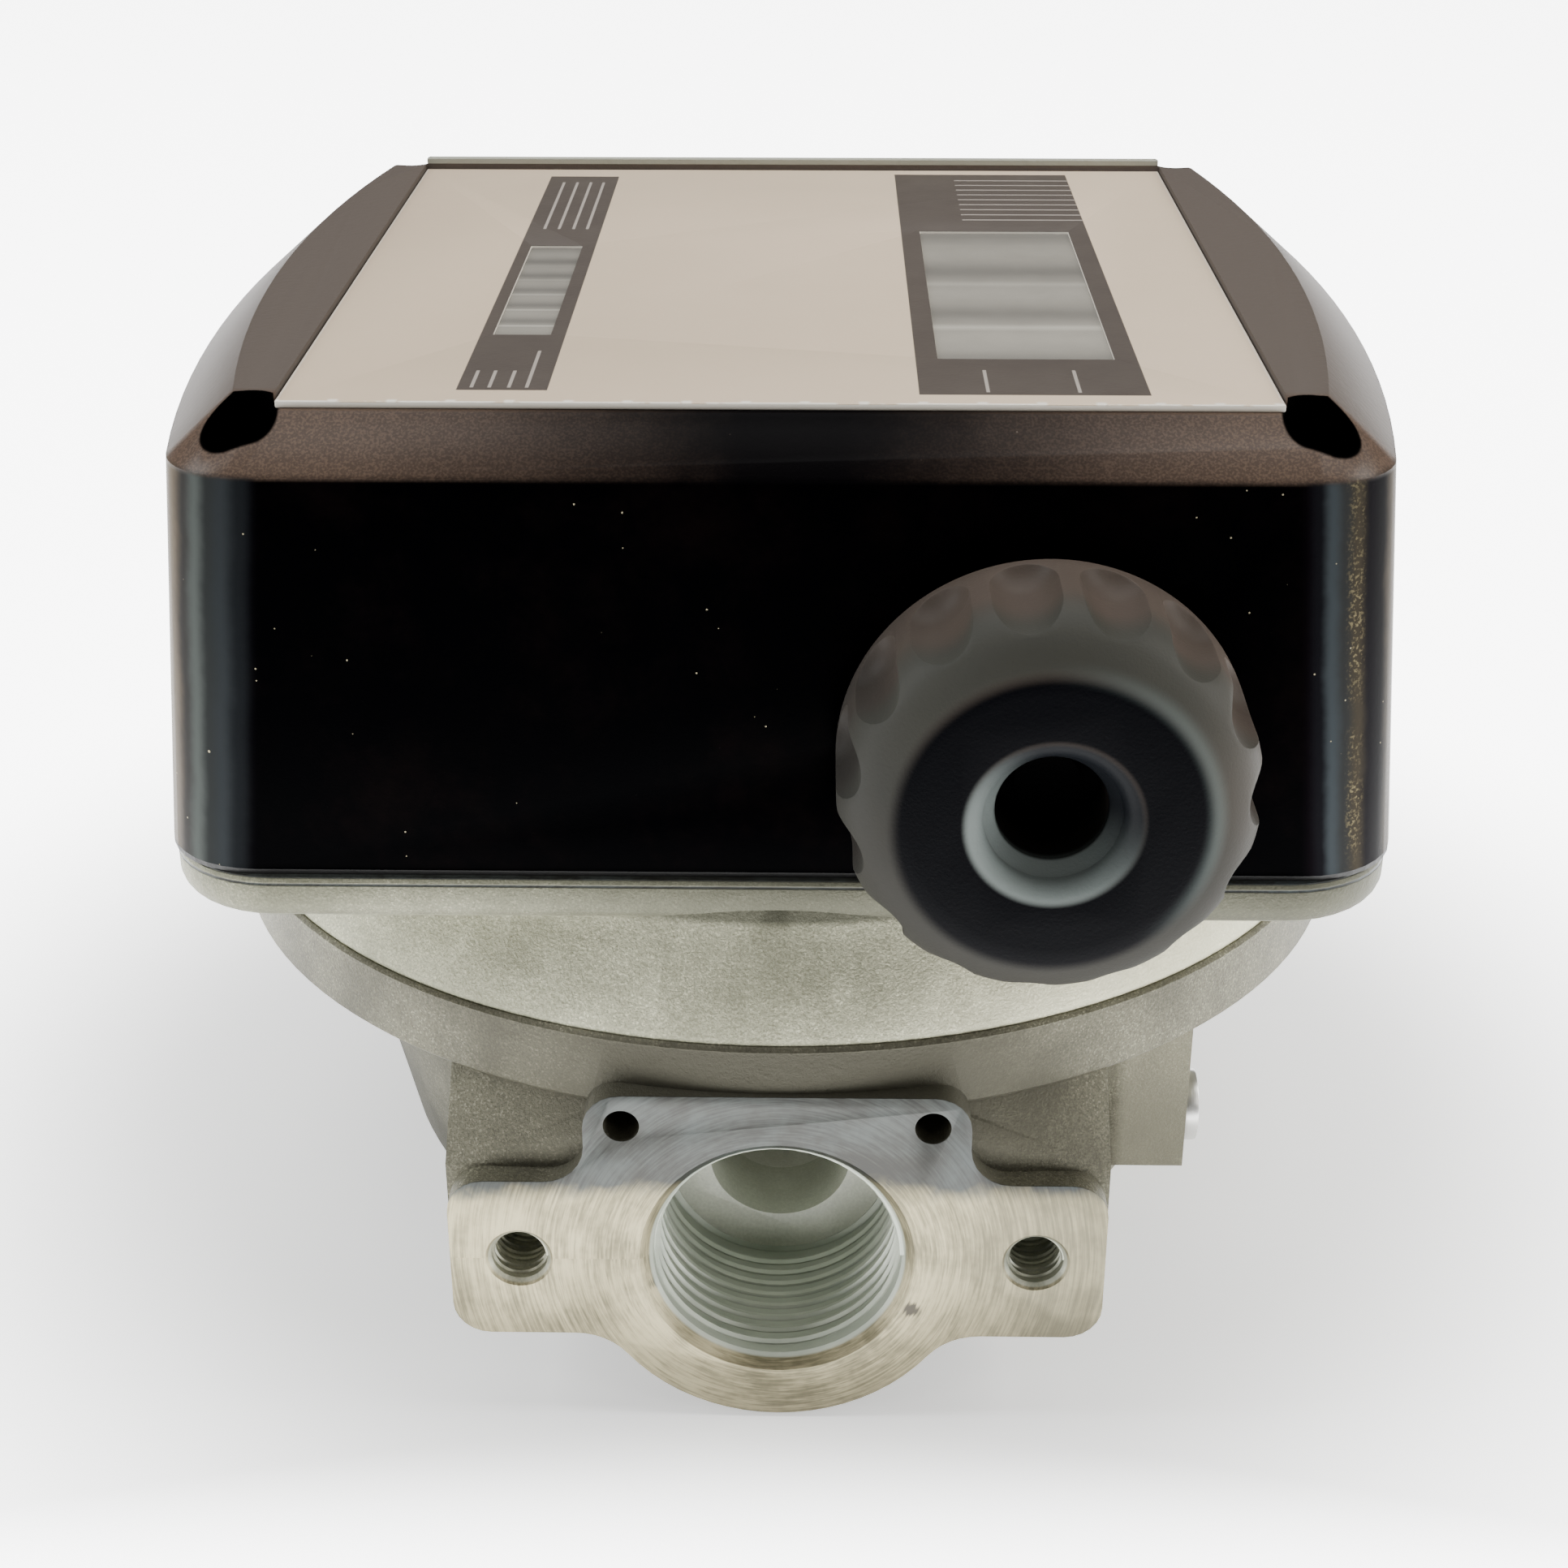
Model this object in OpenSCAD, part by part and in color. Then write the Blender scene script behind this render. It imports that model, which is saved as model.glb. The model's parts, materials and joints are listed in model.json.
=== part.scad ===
// Mechanical diesel flow meter: nutating-disc measuring chamber below, drum register above.
// Millimetres. Origin: centre of the flat underside, on the meter's vertical axis. +Z up, front port at -Y.

/* [Ports] */
// Distance between the two machined port faces
port_to_port = 155; // [153:1:160]
// Height of the port axis above the base
port_axis_h = 24; // [24:0.5:25]
// Wall radius of the threaded port bore (1 inch BSP, minor diameter)
port_bore_r = 15.15; // [14.5:0.05:15.6]
// Depth of the threaded stretch of each port
port_thread_l = 22; // [20:0.5:22.5]
// Chamfer at the mouth of each port
mouth_chamfer = 1.55; // [1:0.05:2]
// Half width of the port's bolting ears
ear_half_w = 39.7; // [37:0.1:41]
// Half height of the bolting ears
ear_half_h = 11.2; // [10.5:0.1:12]
// Outer radius of the round lower port boss
port_boss_r = 23.4; // [22:0.1:23.8]
// Half width of the upper tab
tab_half_w = 23; // [22:0.5:25]
// Corner radius of the ears and of the tab
port_corner_r = 4.5; // [3:0.5:6]
// Half distance between the two large tapped holes
port_bolt_half = 31.3; // [29:0.1:32.5]
// Radius of the large tapped holes (M8 core)
port_bolt_r = 3.4; // [2.5:0.1:3.9]
// Half distance between the two small tapped holes
tab_bolt_half = 18.4; // [17:0.1:19]
// Height of the small tapped holes above the port axis
tab_bolt_up = 19.25; // [18.5:0.05:19.5]
// Radius of the small tapped holes (M5 core)
tab_bolt_r = 2.15; // [1.6:0.05:2.6]

/* [Lower body] */
// Radius of the flat base ring
base_r = 48; // [46:0.5:50]
// Radius of the bowl under the flange
bowl_r = 64; // [63:0.5:66]
// Radius of the round body flange
flange_r = 76.7; // [75.5:0.1:77]
// Thickness of the body flange
flange_t = 10; // [9:0.5:11]
// Height of the joint between the lower and the upper body
parting_z = 53.5; // [53:0.25:54.5]
// Radius of the pocket that holds the measuring chamber
pocket_r = 49; // [48:0.25:50]
// Height of the pocket floor
pocket_floor_z = 8; // [7:0.25:8.5]
// Radius of the register bore that centres the upper body
spigot_r = 60; // [59:0.25:61]

/* [Measuring chamber] */
// Height of the chamber's centre
chamber_z = 26; // [25.5:0.25:26.5]
// Outer radius of the measuring chamber
chamber_r = 45; // [44:0.25:46]
// Radius of the spherical chamber wall
sphere_r = 40; // [38:0.25:41]
// Radius of the disc's central ball
ball_r = 9; // [8:0.25:9.5]
// Nutation angle of the disc
tilt = 12; // [10:0.5:12.5]
// Thickness of the disc
disc_t = 2.4; // [2:0.1:3]
// Running clearance inside the chamber
chamber_play = 0.08; // [0.05:0.01:0.1]

/* [Register cover] */
// Half width of the cover at mid depth, at the foot of its bevel
head_half_w = 73.6; // [73:0.1:75]
// Half depth of the cover at the foot of its bevel
head_half_d = 66.8; // [66.5:0.1:68]
// Radius of the cover's bulged sides
side_arc_r = 330; // [280:10:400]
// Corner radius of the cover in plan
head_corner_r = 10; // [8:0.5:12]
// Height of the cover's lower edge
cover_bottom_z = 72.6; // [72.2:0.1:73.2]
// Height of the foot of the bevel
bevel_foot_z = 119.6; // [119:0.1:120.5]
// Height of the cover's top surround
cover_top_z = 126.5; // [126.5:0.1:127.5]
// Outward draft of the bulged side walls, from the bevel to the lower edge
side_draft = 4.1; // [3.5:0.1:4.5]
// Outward draft of the front and rear walls
front_draft = 2; // [1.5:0.1:2.5]
// Wall thickness of the cover
cover_wall = 3; // [2.5:0.1:3.5]
// Width of the bevel round the top
bevel_w = 8; // [7:0.5:9]

/* [Face plate and windows] */
// Half width of the face plate
plate_half_w = 55.5; // [54:0.5:57]
// Distance of the face plate's front edge from the middle
plate_front_d = 59.4; // [58:0.1:59.5]
// Distance of the face plate's rear edge from the middle
plate_rear_d = 57.9; // [57:0.1:58.2]
// Thickness of the face plate
plate_t = 0.8; // [0.5:0.1:0.9]
// Height of the side surrounds above the face plate
rim_rise = 0.6; // [0.4:0.1:0.7]
// Height of the rear strip above the side surrounds
strip_rise = 0.9; // [0.5:0.1:1.2]
// Sideways place of the resettable counter's window
batch_win_x = 28.35; // [27.5:0.05:29.5]
// Width of the resettable counter's window
batch_win_w = 20.5; // [18:0.5:21]
// Length of the resettable counter's window
batch_win_l = 61.7; // [58:0.1:63]
// Width of the totaliser's window
total_win_w = 6.9; // [6:0.1:8]
// Length of the totaliser's window
total_win_l = 43.4; // [42:0.1:45]

/* [Counters] */
// Sideways place of the resettable counter and of the knob
batch_x = 29.5; // [29:0.25:29.75]
// Height of the resettable counter's shaft
batch_z = 89.4; // [88.6:0.1:89.6]
// Outer radius of a large number drum
batch_drum_r = 31.5; // [30:0.25:31.75]
// Distance from drum to drum
batch_pitch = 20.3; // [19.8:0.1:20.4]
// Place of the units drum along the shaft
batch_units_y = -31.4; // [-31.6:0.1:-31.2]
// Sideways place of the totaliser
total_x = -31.2; // [-32:0.1:-31]
// Height of the totaliser's shaft
total_z = 109; // [108.5:0.25:109.5]
// Outer radius of a small number drum
total_drum_r = 12; // [11.6:0.1:12.4]
// Distance from small drum to small drum
total_pitch = 7.2; // [7.1:0.1:7.3]
// Place of the totaliser's units drum
total_units_y = -28.9; // [-29.5:0.1:-28.5]

/* [Reset knob] */
// Largest radius of the knob
knob_r = 23; // [22:0.1:23.5]
// Length of the knob from its back to its front ring
knob_l = 18.8; // [18:0.1:20]
// Radius of the knob's front ring
knob_ring_r = 16; // [14.5:0.25:17]
// Radius of the knob's central hole
knob_hole_r = 6.1; // [5.5:0.1:6.8]
// Number of finger flutes
knob_flutes = 15; // [8:1:16]

/* [Gears] */
// Module of the large gears
gear_m = 0.8; // [0.78:0.01:0.8]
// Module of the totaliser's gears
fine_m = 0.6; // [0.58:0.01:0.6]
// Teeth of every driving pinion
pinion_n = 12; // [12:1:12]
// Teeth of every driven reduction gear
wheel_n = 60; // [60:1:60]
// Teeth of the crown gear
crown_n = 36; // [36:1:36]

/* [Calibration] */
// Place of the calibration screw along Y
cal_y = -34.4; // [-35:0.2:-34]
// Height of the calibration screw
cal_z = 18.7; // [18:0.1:19.5]
// Reach of the boss beyond the bowl's wall, at the top of the sealing cap
cal_boss_out = 2.73; // [2.5:0.01:3.5]

/* [Hidden] */
$fn = 64;
over = 1;
fit = 0.05;
tiny = 0.01;
pressure_angle = 20;

// Outlines and places that several pieces share
port_y = port_to_port / 2;
port_pad_t = 3;
boss_step = 0.8;
gasket_t = 0.6;
tab_up = port_boss_r;
block_over = 0.4;
block_half_w = ear_half_w + block_over;
block_set_back = 3.6;
block_y = port_y - block_set_back;
block_reach = 30;
flange_low_z = parting_z - flange_t;
ledge_drop = 9.5;
ledge_z = parting_z - ledge_drop;
chamber_plate_t = 4;
chamber_top_z = ledge_z + chamber_plate_t;
spigot_fit = 0.1;
spigot_wall = 9.9;
passage_r = 13.2;
nozzle_head_over = 1;
nozzle_head_r = passage_r + nozzle_head_over;
nozzle_head_t = 2;
nozzle_face_y = -port_y + port_thread_l;
nozzle_seat_y = nozzle_face_y + nozzle_head_t;
rim_lip = 1.2;
rim_side_in = 0.4;
rim_fillet = 2.8;
rim_edge = 0.8;
rim_edge_in = 0.4;
rim_h = 5.8;
rim_top_z = cover_bottom_z - gasket_t;
rim_bottom_z = rim_top_z - rim_h;
tray_floor_t = 2;
tray_floor_z = rim_bottom_z + tray_floor_t;
neck_top_in = 6.8;
neck_top_r = flange_r - neck_top_in;
neck_foot_in = 0.7;
neck_foot_r = flange_r - neck_foot_in;
neck_wall = 7.9;
neck_in_r = neck_top_r - neck_wall;
floor_rise = 0.5;
floor_top_z = parting_z + floor_rise;
floor_drop = 3.2;
floor_under_z = parting_z - floor_drop;
cover_half_d = head_half_d + front_draft;
plate_top_z = cover_top_z - rim_rise;
recess_z = plate_top_z - plate_t;
cover_roof_z = recess_z - cover_wall;
plate_play = 0.25;
pane_t = 2;
pane_margin = 1.2;
batch_win_y = batch_units_y + batch_pitch;
total_win_y = total_units_y + 2.5 * total_pitch;

// Fasteners
post_x = 59.3;
post_y = 60.8;
post_r = 5.4;
well_r = 2.9;
well_reach = 1.25;
well_turn = 14;
well_floor_z = 84;
cover_screw_r = 1.5;
cover_head_r = 2.75;
cover_head_h = 3;
body_screw_r = 2.5;
body_head_r = 4.25;
body_head_h = 5;
body_screw_in = 9.3;
body_screw_pcr = flange_r - body_screw_in;
body_screw_angles = [0, 52, 128, 180, 232, 308];
body_well_r = 5;
body_seat_t = 5;
body_well_z = parting_z + body_seat_t;
body_thread_l = 8;
small_screw_r = 1.25;
small_head_r = 2.4;
small_head_h = 1.5;

// Crank, shaft and seal
pin_r = 2;
pin_l = 26;
crank_r = 11;
crank_t = 4;
crank_gap = 0.4;
shaft_socket_floor = 0.8;
crank_z = chamber_top_z + crank_gap;
crank_side_gap = 1;
crank_room_r = crank_r + crank_side_gap;
crank_room_z = crank_z + crank_t + crank_gap / 2;
drive_shaft_r = 2.5;
drive_shaft_over = 12;
drive_shaft_top_z = parting_z + drive_shaft_over;
bush_r = 4.5;
bush_l = 3.9;
bush_z = crank_room_z;
seal_r = 6;
seal_l = 3.4;
seal_skin_t = 1;
seal_wall = 2;
seal_z = bush_z + bush_l;
hub_boss_r = 12;
hub_boss_z = seal_z + seal_l;

// Reduction train: every arbor's place follows from the gears' pitch radii
gear_t = 3;
pinion_t = 4;
arbor_r = 1.5;
arbor_boss_r = 4;
arbor_boss_up = 0.1;
arbor_boss_z = hub_boss_z + arbor_boss_up;
hub_over = 0.5;
clip_gap = 0.2;
first_gear_lift = 1.5;
second_gear_lift = 4.5;
gear_hub_r = 3;
clip_r = 2.6;
clip_t = 0.7;
stage_d = gear_m * (pinion_n + wheel_n) / 2;
pinion_pitch_r = gear_m * pinion_n / 2;
crown_pitch_r = gear_m * crown_n / 2;
crown_face_w = 2.4;
crown_t = 1.8;
crown_ded = 1;
crown_add = 0.75;
crown_tooth_share = 0.22;
lay_x = -24;
lay_z = batch_z;
frame_t = 1.5;
front_frame_y = -56;
rear_frame_back = 55.4;
rear_frame_y = batch_units_y + rear_frame_back;
frame_in_y = front_frame_y + frame_t;
shaft_over = 0.4;
plane_gap = 0.5;
fine_gear_t = 2.5;
fine_y = frame_in_y + plane_gap;
coarse_y = fine_y + fine_gear_t + plane_gap;
crown_back = 1;
crown_y = coarse_y + gear_t + crown_back;
crown_mesh_y = crown_y + crown_t + crown_ded;
second_xy = [lay_x, crown_mesh_y + pinion_pitch_r];
first_low_z = hub_boss_z + first_gear_lift;
second_low_z = first_low_z + gear_t + second_gear_lift;
third_mid_z = lay_z - crown_pitch_r;

function meet(p, q, a, b, side) = let (v = q - p, d = norm(v), u = v / d,
    along = (d * d + a * a - b * b) / (2 * d), off = sqrt(a * a - along * along))
    p + along * u + side * off * [-u.y, u.x];
function heading(p, q) = atan2(q.y - p.y, q.x - p.x);
function mesh_turn(n1, turn1, n2, line) = line + 180 + 180 / n2 - (turn1 - line) * n1 / n2;
function arc(c, r, a0, a1, n) = [for (i = [0:n])
    c + r * [cos(a0 + (a1 - a0) * i / n), sin(a0 + (a1 - a0) * i / n)]];
function flip(points) = [for (i = [len(points) - 1:-1:0]) [-points[i].x, points[i].y]];

first_xy = meet([0, 0], second_xy, stage_d, stage_d, -1);
crank_turn = 0;
first_turn = mesh_turn(pinion_n, crank_turn, wheel_n, heading([0, 0], first_xy));
second_turn = mesh_turn(pinion_n, first_turn, wheel_n, heading(first_xy, second_xy));
// The crown gear's tooth space faces the upright pinion's foremost tooth
crown_turn = -90 + 180 / crown_n + (second_turn + 90) * pinion_n / crown_n;

lay_at = [lay_x, lay_z];
batch_at = [batch_x, batch_z];
total_at = [total_x, total_z];
lay_coarse_n = 16;
batch_idler_n = 36;
batch_gear_n = 48;
lay_fine_n = 12;
total_idler_n = 20;
total_gear_n = 36;
lay_coarse_r = gear_m * lay_coarse_n / 2;
batch_idler_r = gear_m * batch_idler_n / 2;
batch_gear_r = gear_m * batch_gear_n / 2;
lay_fine_r = fine_m * lay_fine_n / 2;
total_idler_r = fine_m * total_idler_n / 2;
total_gear_r = fine_m * total_gear_n / 2;
batch_idler_at = meet(lay_at, batch_at, lay_coarse_r + batch_idler_r, batch_idler_r + batch_gear_r, 1);
total_idler_at = meet(lay_at, total_at, lay_fine_r + total_idler_r, total_idler_r + total_gear_r, -1);
batch_idler_turn = mesh_turn(lay_coarse_n, crown_turn, batch_idler_n, heading(lay_at, batch_idler_at));
batch_gear_turn = mesh_turn(batch_idler_n, batch_idler_turn, batch_gear_n,
    heading(batch_idler_at, batch_at));
total_idler_turn = mesh_turn(lay_fine_n, crown_turn, total_idler_n, heading(lay_at, total_idler_at));
total_gear_turn = mesh_turn(total_idler_n, total_idler_turn, total_gear_n,
    heading(total_idler_at, total_at));

// Number drums and their transfer pinions
reset_shaft_r = 3;
drum_gap = 2;
drum_w = batch_pitch - drum_gap;
drum_skin = 1.6;
drum_room = 1.5;
drum_hub_r = 5;
drum_web_t = 2;
transfer_m = 1;
ring_n = 20;
transfer_n = 8;
ring_t = 2.1;
lock_gap = 0.3;
lock_r = transfer_m * ring_n / 2 - lock_gap;
lock_disc_in = 1.6;
lock_disc_r = lock_r - lock_disc_in;
notch_turn = 360 / ring_n * 1.5;
web_gap = 0.15;
ring_gap = 0.1;
short_tooth_half = 1.4;
transfer_arm_half = 3.5;
transfer_hub_over = 2;
transfer_d = transfer_m * (ring_n + transfer_n) / 2;
transfer_t = 1.6;
transfer_gap = 0.25;
transfer_pin_r = 0.8;
transfer_plate_t = 1;
pillar_r = 2.2;
frame_inset = 9.1;
frame_half_w = neck_in_r - frame_inset;
frame_top_gap = 1.1;
frame_top_z = cover_roof_z - frame_top_gap;
frame_low_z = cover_bottom_z;
pillar_in = 6;
pillar_high_in = 3;
pillar_high_z = frame_top_z - pillar_high_in;
pillar_low_in = 3.4;
pillar_low_z = frame_low_z + pillar_low_in;
pillar_right_in = 1;
pillar_places = [[pillar_in - frame_half_w, pillar_high_z], [pillar_in - frame_half_w, pillar_low_z],
    [frame_half_w - pillar_in / 2, pillar_high_z - pillar_right_in]];
transfer_line = heading(batch_at, pillar_places[2]);
small_ring_t = 1.4;
small_rim_w = 3.6;
small_transfer_t = 3.2;
total_line = 200;
total_pinion_at = total_at + transfer_d * [cos(total_line), sin(total_line)];
total_pin_r = 1;

// Knob
knob_gap = 0.6;
knob_back_y = -cover_half_d - rim_lip - knob_gap;
knob_front_y = knob_back_y - knob_l;
knob_dish_r = 9.8;
knob_dish_depth = 4.2;
knob_dish_edge_r = 2.4;
knob_hole_depth = 13;
knob_shoulder_r = 8.4;
knob_edge = 0.6;
knob_screw_head_t = 2.1;
knob_screw_head_r = 3.6;
knob_screw_l = 7;
knob_shaft_in = 0.5;
knob_seat_y = knob_front_y + knob_hole_depth;
knob_shaft_end_y = knob_seat_y + knob_shaft_in;
flute_r = 4.6;
flute_bite = 2.2;
flute_turn = 2.3;
flute_margin = 5.7;
flute_end = knob_l - flute_margin;
shaft_hole_r = 5;

// Calibration
cal_half = 6;
cal_drop = 6.1;
cal_bottom_z = cal_z - cal_drop;
cal_cap_r = 4.85;
cal_cap_out = 2;
cal_cap_thread_r = 4;
cal_cap_thread_l = 2.2;
cal_cap_l = 7;
cal_hex_r = 2.6;
cal_hex_floor = 0.4;
cal_bore_r = 3;
cal_depth = 13.5;
bowl_fillet = 8;
bowl_fillet_end = -15;
bowl_low = [base_r + bowl_fillet * cos(bowl_fillet_end), bowl_fillet + bowl_fillet * sin(bowl_fillet_end)];
cal_top_z = cal_z + cal_cap_r;
bowl_at_cal = bowl_low.x + (bowl_r - bowl_low.x) * (cal_top_z - bowl_low.y) / (flange_low_z - bowl_low.y);
cal_face_x = sqrt(pow(bowl_at_cal, 2) - pow(cal_y + cal_cap_r, 2)) + cal_boss_out;
cal_seat_x = cal_face_x - cal_depth;
cal_duct_r = 2;
cal_needle_l = 6;
cal_tip_l = 3;
cal_tip_in = 1.5;

// Repeated forms
module at_y(y) translate([0, y, 0]) rotate([90, 0, 0]) mirror([0, 0, 1]) children();
module along_y(p, y) translate([p.x, y, p.y]) rotate([90, 0, 0]) mirror([0, 0, 1]) children();
module along_x(x) translate([x, cal_y, cal_z]) rotate([0, 90, 0]) children();
module inward_x(x) translate([x, cal_y, cal_z]) rotate([0, -90, 0]) children();
module rod_y(p, y0, y1, r) along_y(p, y0) cylinder(h = y1 - y0, r = r);
module rod_z(p, z0, z1, r) translate([p.x, p.y, z0]) cylinder(h = z1 - z0, r = r);
module ends() {
    children();
    rotate([0, 0, 180]) children();
}
module ring_seal(major_r, wire_r) rotate_extrude() translate([major_r, 0]) circle(r = wire_r);

function involute(a) = tan(a) * 180 / PI - a;
function tooth_half(r, rp, rb, half) = half + involute(pressure_angle) - involute(acos(min(1, rb / r)));
module gear_outline(n, m, turn, thick_share = 0.46, add_share = 0.95, ded_share = 1.15) {
    rp = m * n / 2;
    rb = rp * cos(pressure_angle);
    root_r = rp - ded_share * m;
    tip_r = rp + add_share * m;
    low_r = max(rb, root_r + tiny);
    radii = [root_r, low_r, rp, tip_r];
    half = 180 / n * thick_share;
    halves = [for (r = radii) tooth_half(max(r, rb), rp, rb, half)];
    polygon([for (k = [0:n - 1]) let (mid = turn + k * 360 / n)
        each concat([for (i = [0:3]) radii[i] * [cos(mid - halves[i]), sin(mid - halves[i])]],
            [for (i = [3:-1:0]) radii[i] * [cos(mid + halves[i]), sin(mid + halves[i])]])]);
}
module gear_z(p, z, t, n, m, turn) translate([p.x, p.y, z]) linear_extrude(t) gear_outline(n, m, turn);
module gear_y(p, y, t, n, m, turn) along_y(p, y) linear_extrude(t) gear_outline(n, m, turn);

// The cover's plan: flat front and back, bulged sides, round corners. A profile lists the outward steps
// of the sides and of the front with the height, from bottom to top; each facet stays a plane.
corner_y = head_half_d - head_corner_r;
corner_run = sqrt(pow(side_arc_r - head_corner_r, 2) - pow(corner_y, 2));
corner_x = head_half_w - side_arc_r + corner_run;
side_turn = atan2(corner_y, corner_run);
corner_steps = 8;
side_steps = 16;
function inner_arc(c, r, a0, a1, n) = [for (i = [1:n - 1])
    c + r * [cos(a0 + (a1 - a0) * i / n), sin(a0 + (a1 - a0) * i / n)]];
function half_plan(side, front) = let (shift = side - front) concat(
    arc([corner_x + shift, -corner_y], head_corner_r + front, -90, -side_turn, corner_steps),
    inner_arc([head_half_w - side_arc_r + shift, 0], side_arc_r + front, -side_turn, side_turn, side_steps),
    arc([corner_x + shift, corner_y], head_corner_r + front, side_turn, 90, corner_steps));
function plan(side, front) = concat(half_plan(side, front), flip(half_plan(side, front)));
module plan_shell(profile) {
    n = len(plan(0, 0));
    bands = len(profile) - 1;
    polyhedron(points = [for (p = profile) each [for (q = plan(p[0], p[1])) [q.x, q.y, p[2]]]],
        faces = concat([[for (i = [0:n - 1]) i]], [[for (i = [n - 1:-1:0]) bands * n + i]],
            [for (band = [0:bands - 1], i = [0:n - 1]) let (j = (i + 1) % n)
                [band * n + i, band * n + n + i, band * n + n + j, band * n + j]]));
}
function rim_level(inward, z) = [side_draft - rim_side_in - inward, front_draft + rim_lip - inward, z];
function draft_level(inward, z) = [side_draft - inward, front_draft - inward, z];
function even_level(inward, z) = [-inward, -inward, z];

// Outline of the machined port face, about the port's axis
port_fillet_r = 8;
tab_fillet_r = 5;
fillet_x = sqrt(pow(port_boss_r + port_fillet_r, 2) - pow(ear_half_h + port_fillet_r, 2));
fillet_turn = atan2(ear_half_h + port_fillet_r, fillet_x);
function port_half() = concat(
    arc([0, 0], port_boss_r, -90, -fillet_turn, 10),
    arc([fillet_x, -ear_half_h - port_fillet_r], port_fillet_r, 180 - fillet_turn, 90, 6),
    arc([ear_half_w - port_corner_r, port_corner_r - ear_half_h], port_corner_r, -90, 0, 6),
    arc([ear_half_w - port_corner_r, ear_half_h - port_corner_r], port_corner_r, 0, 90, 6),
    arc([tab_half_w + tab_fillet_r, ear_half_h + tab_fillet_r], tab_fillet_r, 270, 180, 6),
    arc([tab_half_w - port_corner_r, tab_up - port_corner_r], port_corner_r, 0, 90, 6));
module port_outline() polygon(concat(port_half(), flip(port_half())));

function block_half() = concat(
    arc([block_half_w - port_corner_r, port_corner_r - ear_half_h], port_corner_r, -90, 0, 6),
    [[block_half_w, over]]);
module port_block() {
    along_y([0, port_axis_h], -port_y) linear_extrude(port_pad_t + over) port_outline();
    along_y([0, port_axis_h], -block_y) linear_extrude(block_y - block_reach)
        polygon(concat(block_half(), flip(block_half())));
    rod_y([0, port_axis_h], port_pad_t - port_y, -pocket_r + over, port_boss_r - boss_step);
    hull() {
        translate([-block_half_w, -block_y, port_axis_h])
            cube([2 * block_half_w, block_y - block_reach, ear_half_h]);
        translate([0, 0, flange_low_z + boss_step / 2]) linear_extrude(tiny) intersection() {
            circle(r = flange_r - boss_step);
            translate([-block_half_w, -flange_r]) square([2 * block_half_w, flange_r - block_reach]);
        }
    }
}

flange_edge = 1;
parting_edge = 0.5;
bowl_fillet_start = -70;
module bowl() rotate_extrude() polygon(concat([[0, 0], [base_r, 0]],
    arc([base_r, bowl_fillet], bowl_fillet, bowl_fillet_start, bowl_fillet_end, 5),
    [[bowl_r, flange_low_z], [flange_r - flange_edge, flange_low_z], [flange_r, flange_low_z + flange_edge],
    [flange_r, parting_z - parting_edge], [flange_r - parting_edge, parting_z], [0, parting_z]]));

port_bolt_l = 16;
bolt_chamfer = 0.7;
tab_bolt_l = 10;
passage_over = 3;
module lower_body() color([0.62, 0.60, 0.55]) difference() {
    union() {
        bowl();
        intersection() {
            ends() port_block();
            translate([0, 0, parting_z / 2]) cube([4 * flange_r, 2 * port_y, parting_z], center = true);
        }
        translate([0, cal_y - cal_half, cal_bottom_z])
            cube([cal_face_x, 2 * cal_half, flange_low_z - cal_bottom_z + over]);
    }
    rod_z([0, 0], pocket_floor_z, ledge_z + over, pocket_r);
    rod_z([0, 0], ledge_z, parting_z + over, spigot_r);
    ends() {
        rod_y([0, port_axis_h], -port_y - over, nozzle_face_y, port_bore_r);
        along_y([0, port_axis_h], -port_y - over)
            cylinder(h = mouth_chamfer + over, r1 = port_bore_r + mouth_chamfer + over, r2 = port_bore_r);
        rod_y([0, port_axis_h], nozzle_face_y - over, nozzle_seat_y, nozzle_head_r + fit);
        rod_y([0, port_axis_h], nozzle_face_y - over, -pocket_r + passage_over, passage_r);
        for (x = [-port_bolt_half, port_bolt_half])
            rod_y([x, port_axis_h], -port_y - over, -port_y + port_bolt_l, port_bolt_r);
        for (x = [-port_bolt_half, port_bolt_half]) along_y([x, port_axis_h], -port_y - over)
            cylinder(h = bolt_chamfer + over, r1 = port_bolt_r + bolt_chamfer + over, r2 = port_bolt_r);
        for (x = [-tab_bolt_half, tab_bolt_half])
            rod_y([x, port_axis_h + tab_bolt_up], -port_y - over, -port_y + tab_bolt_l, tab_bolt_r);
    }
    for (a = body_screw_angles) rotate([0, 0, a])
        rod_z([body_screw_pcr, 0], parting_z - body_thread_l, parting_z + over, body_screw_r);
    inward_x(cal_face_x + over) cylinder(h = cal_cap_l + over, r = cal_cap_thread_r);
    inward_x(cal_face_x) cylinder(h = cal_depth, r = cal_bore_r);
    inward_x(cal_face_x) cylinder(h = cal_face_x - cal_duct_r - pocket_r / 2, r = cal_duct_r);
}

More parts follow.
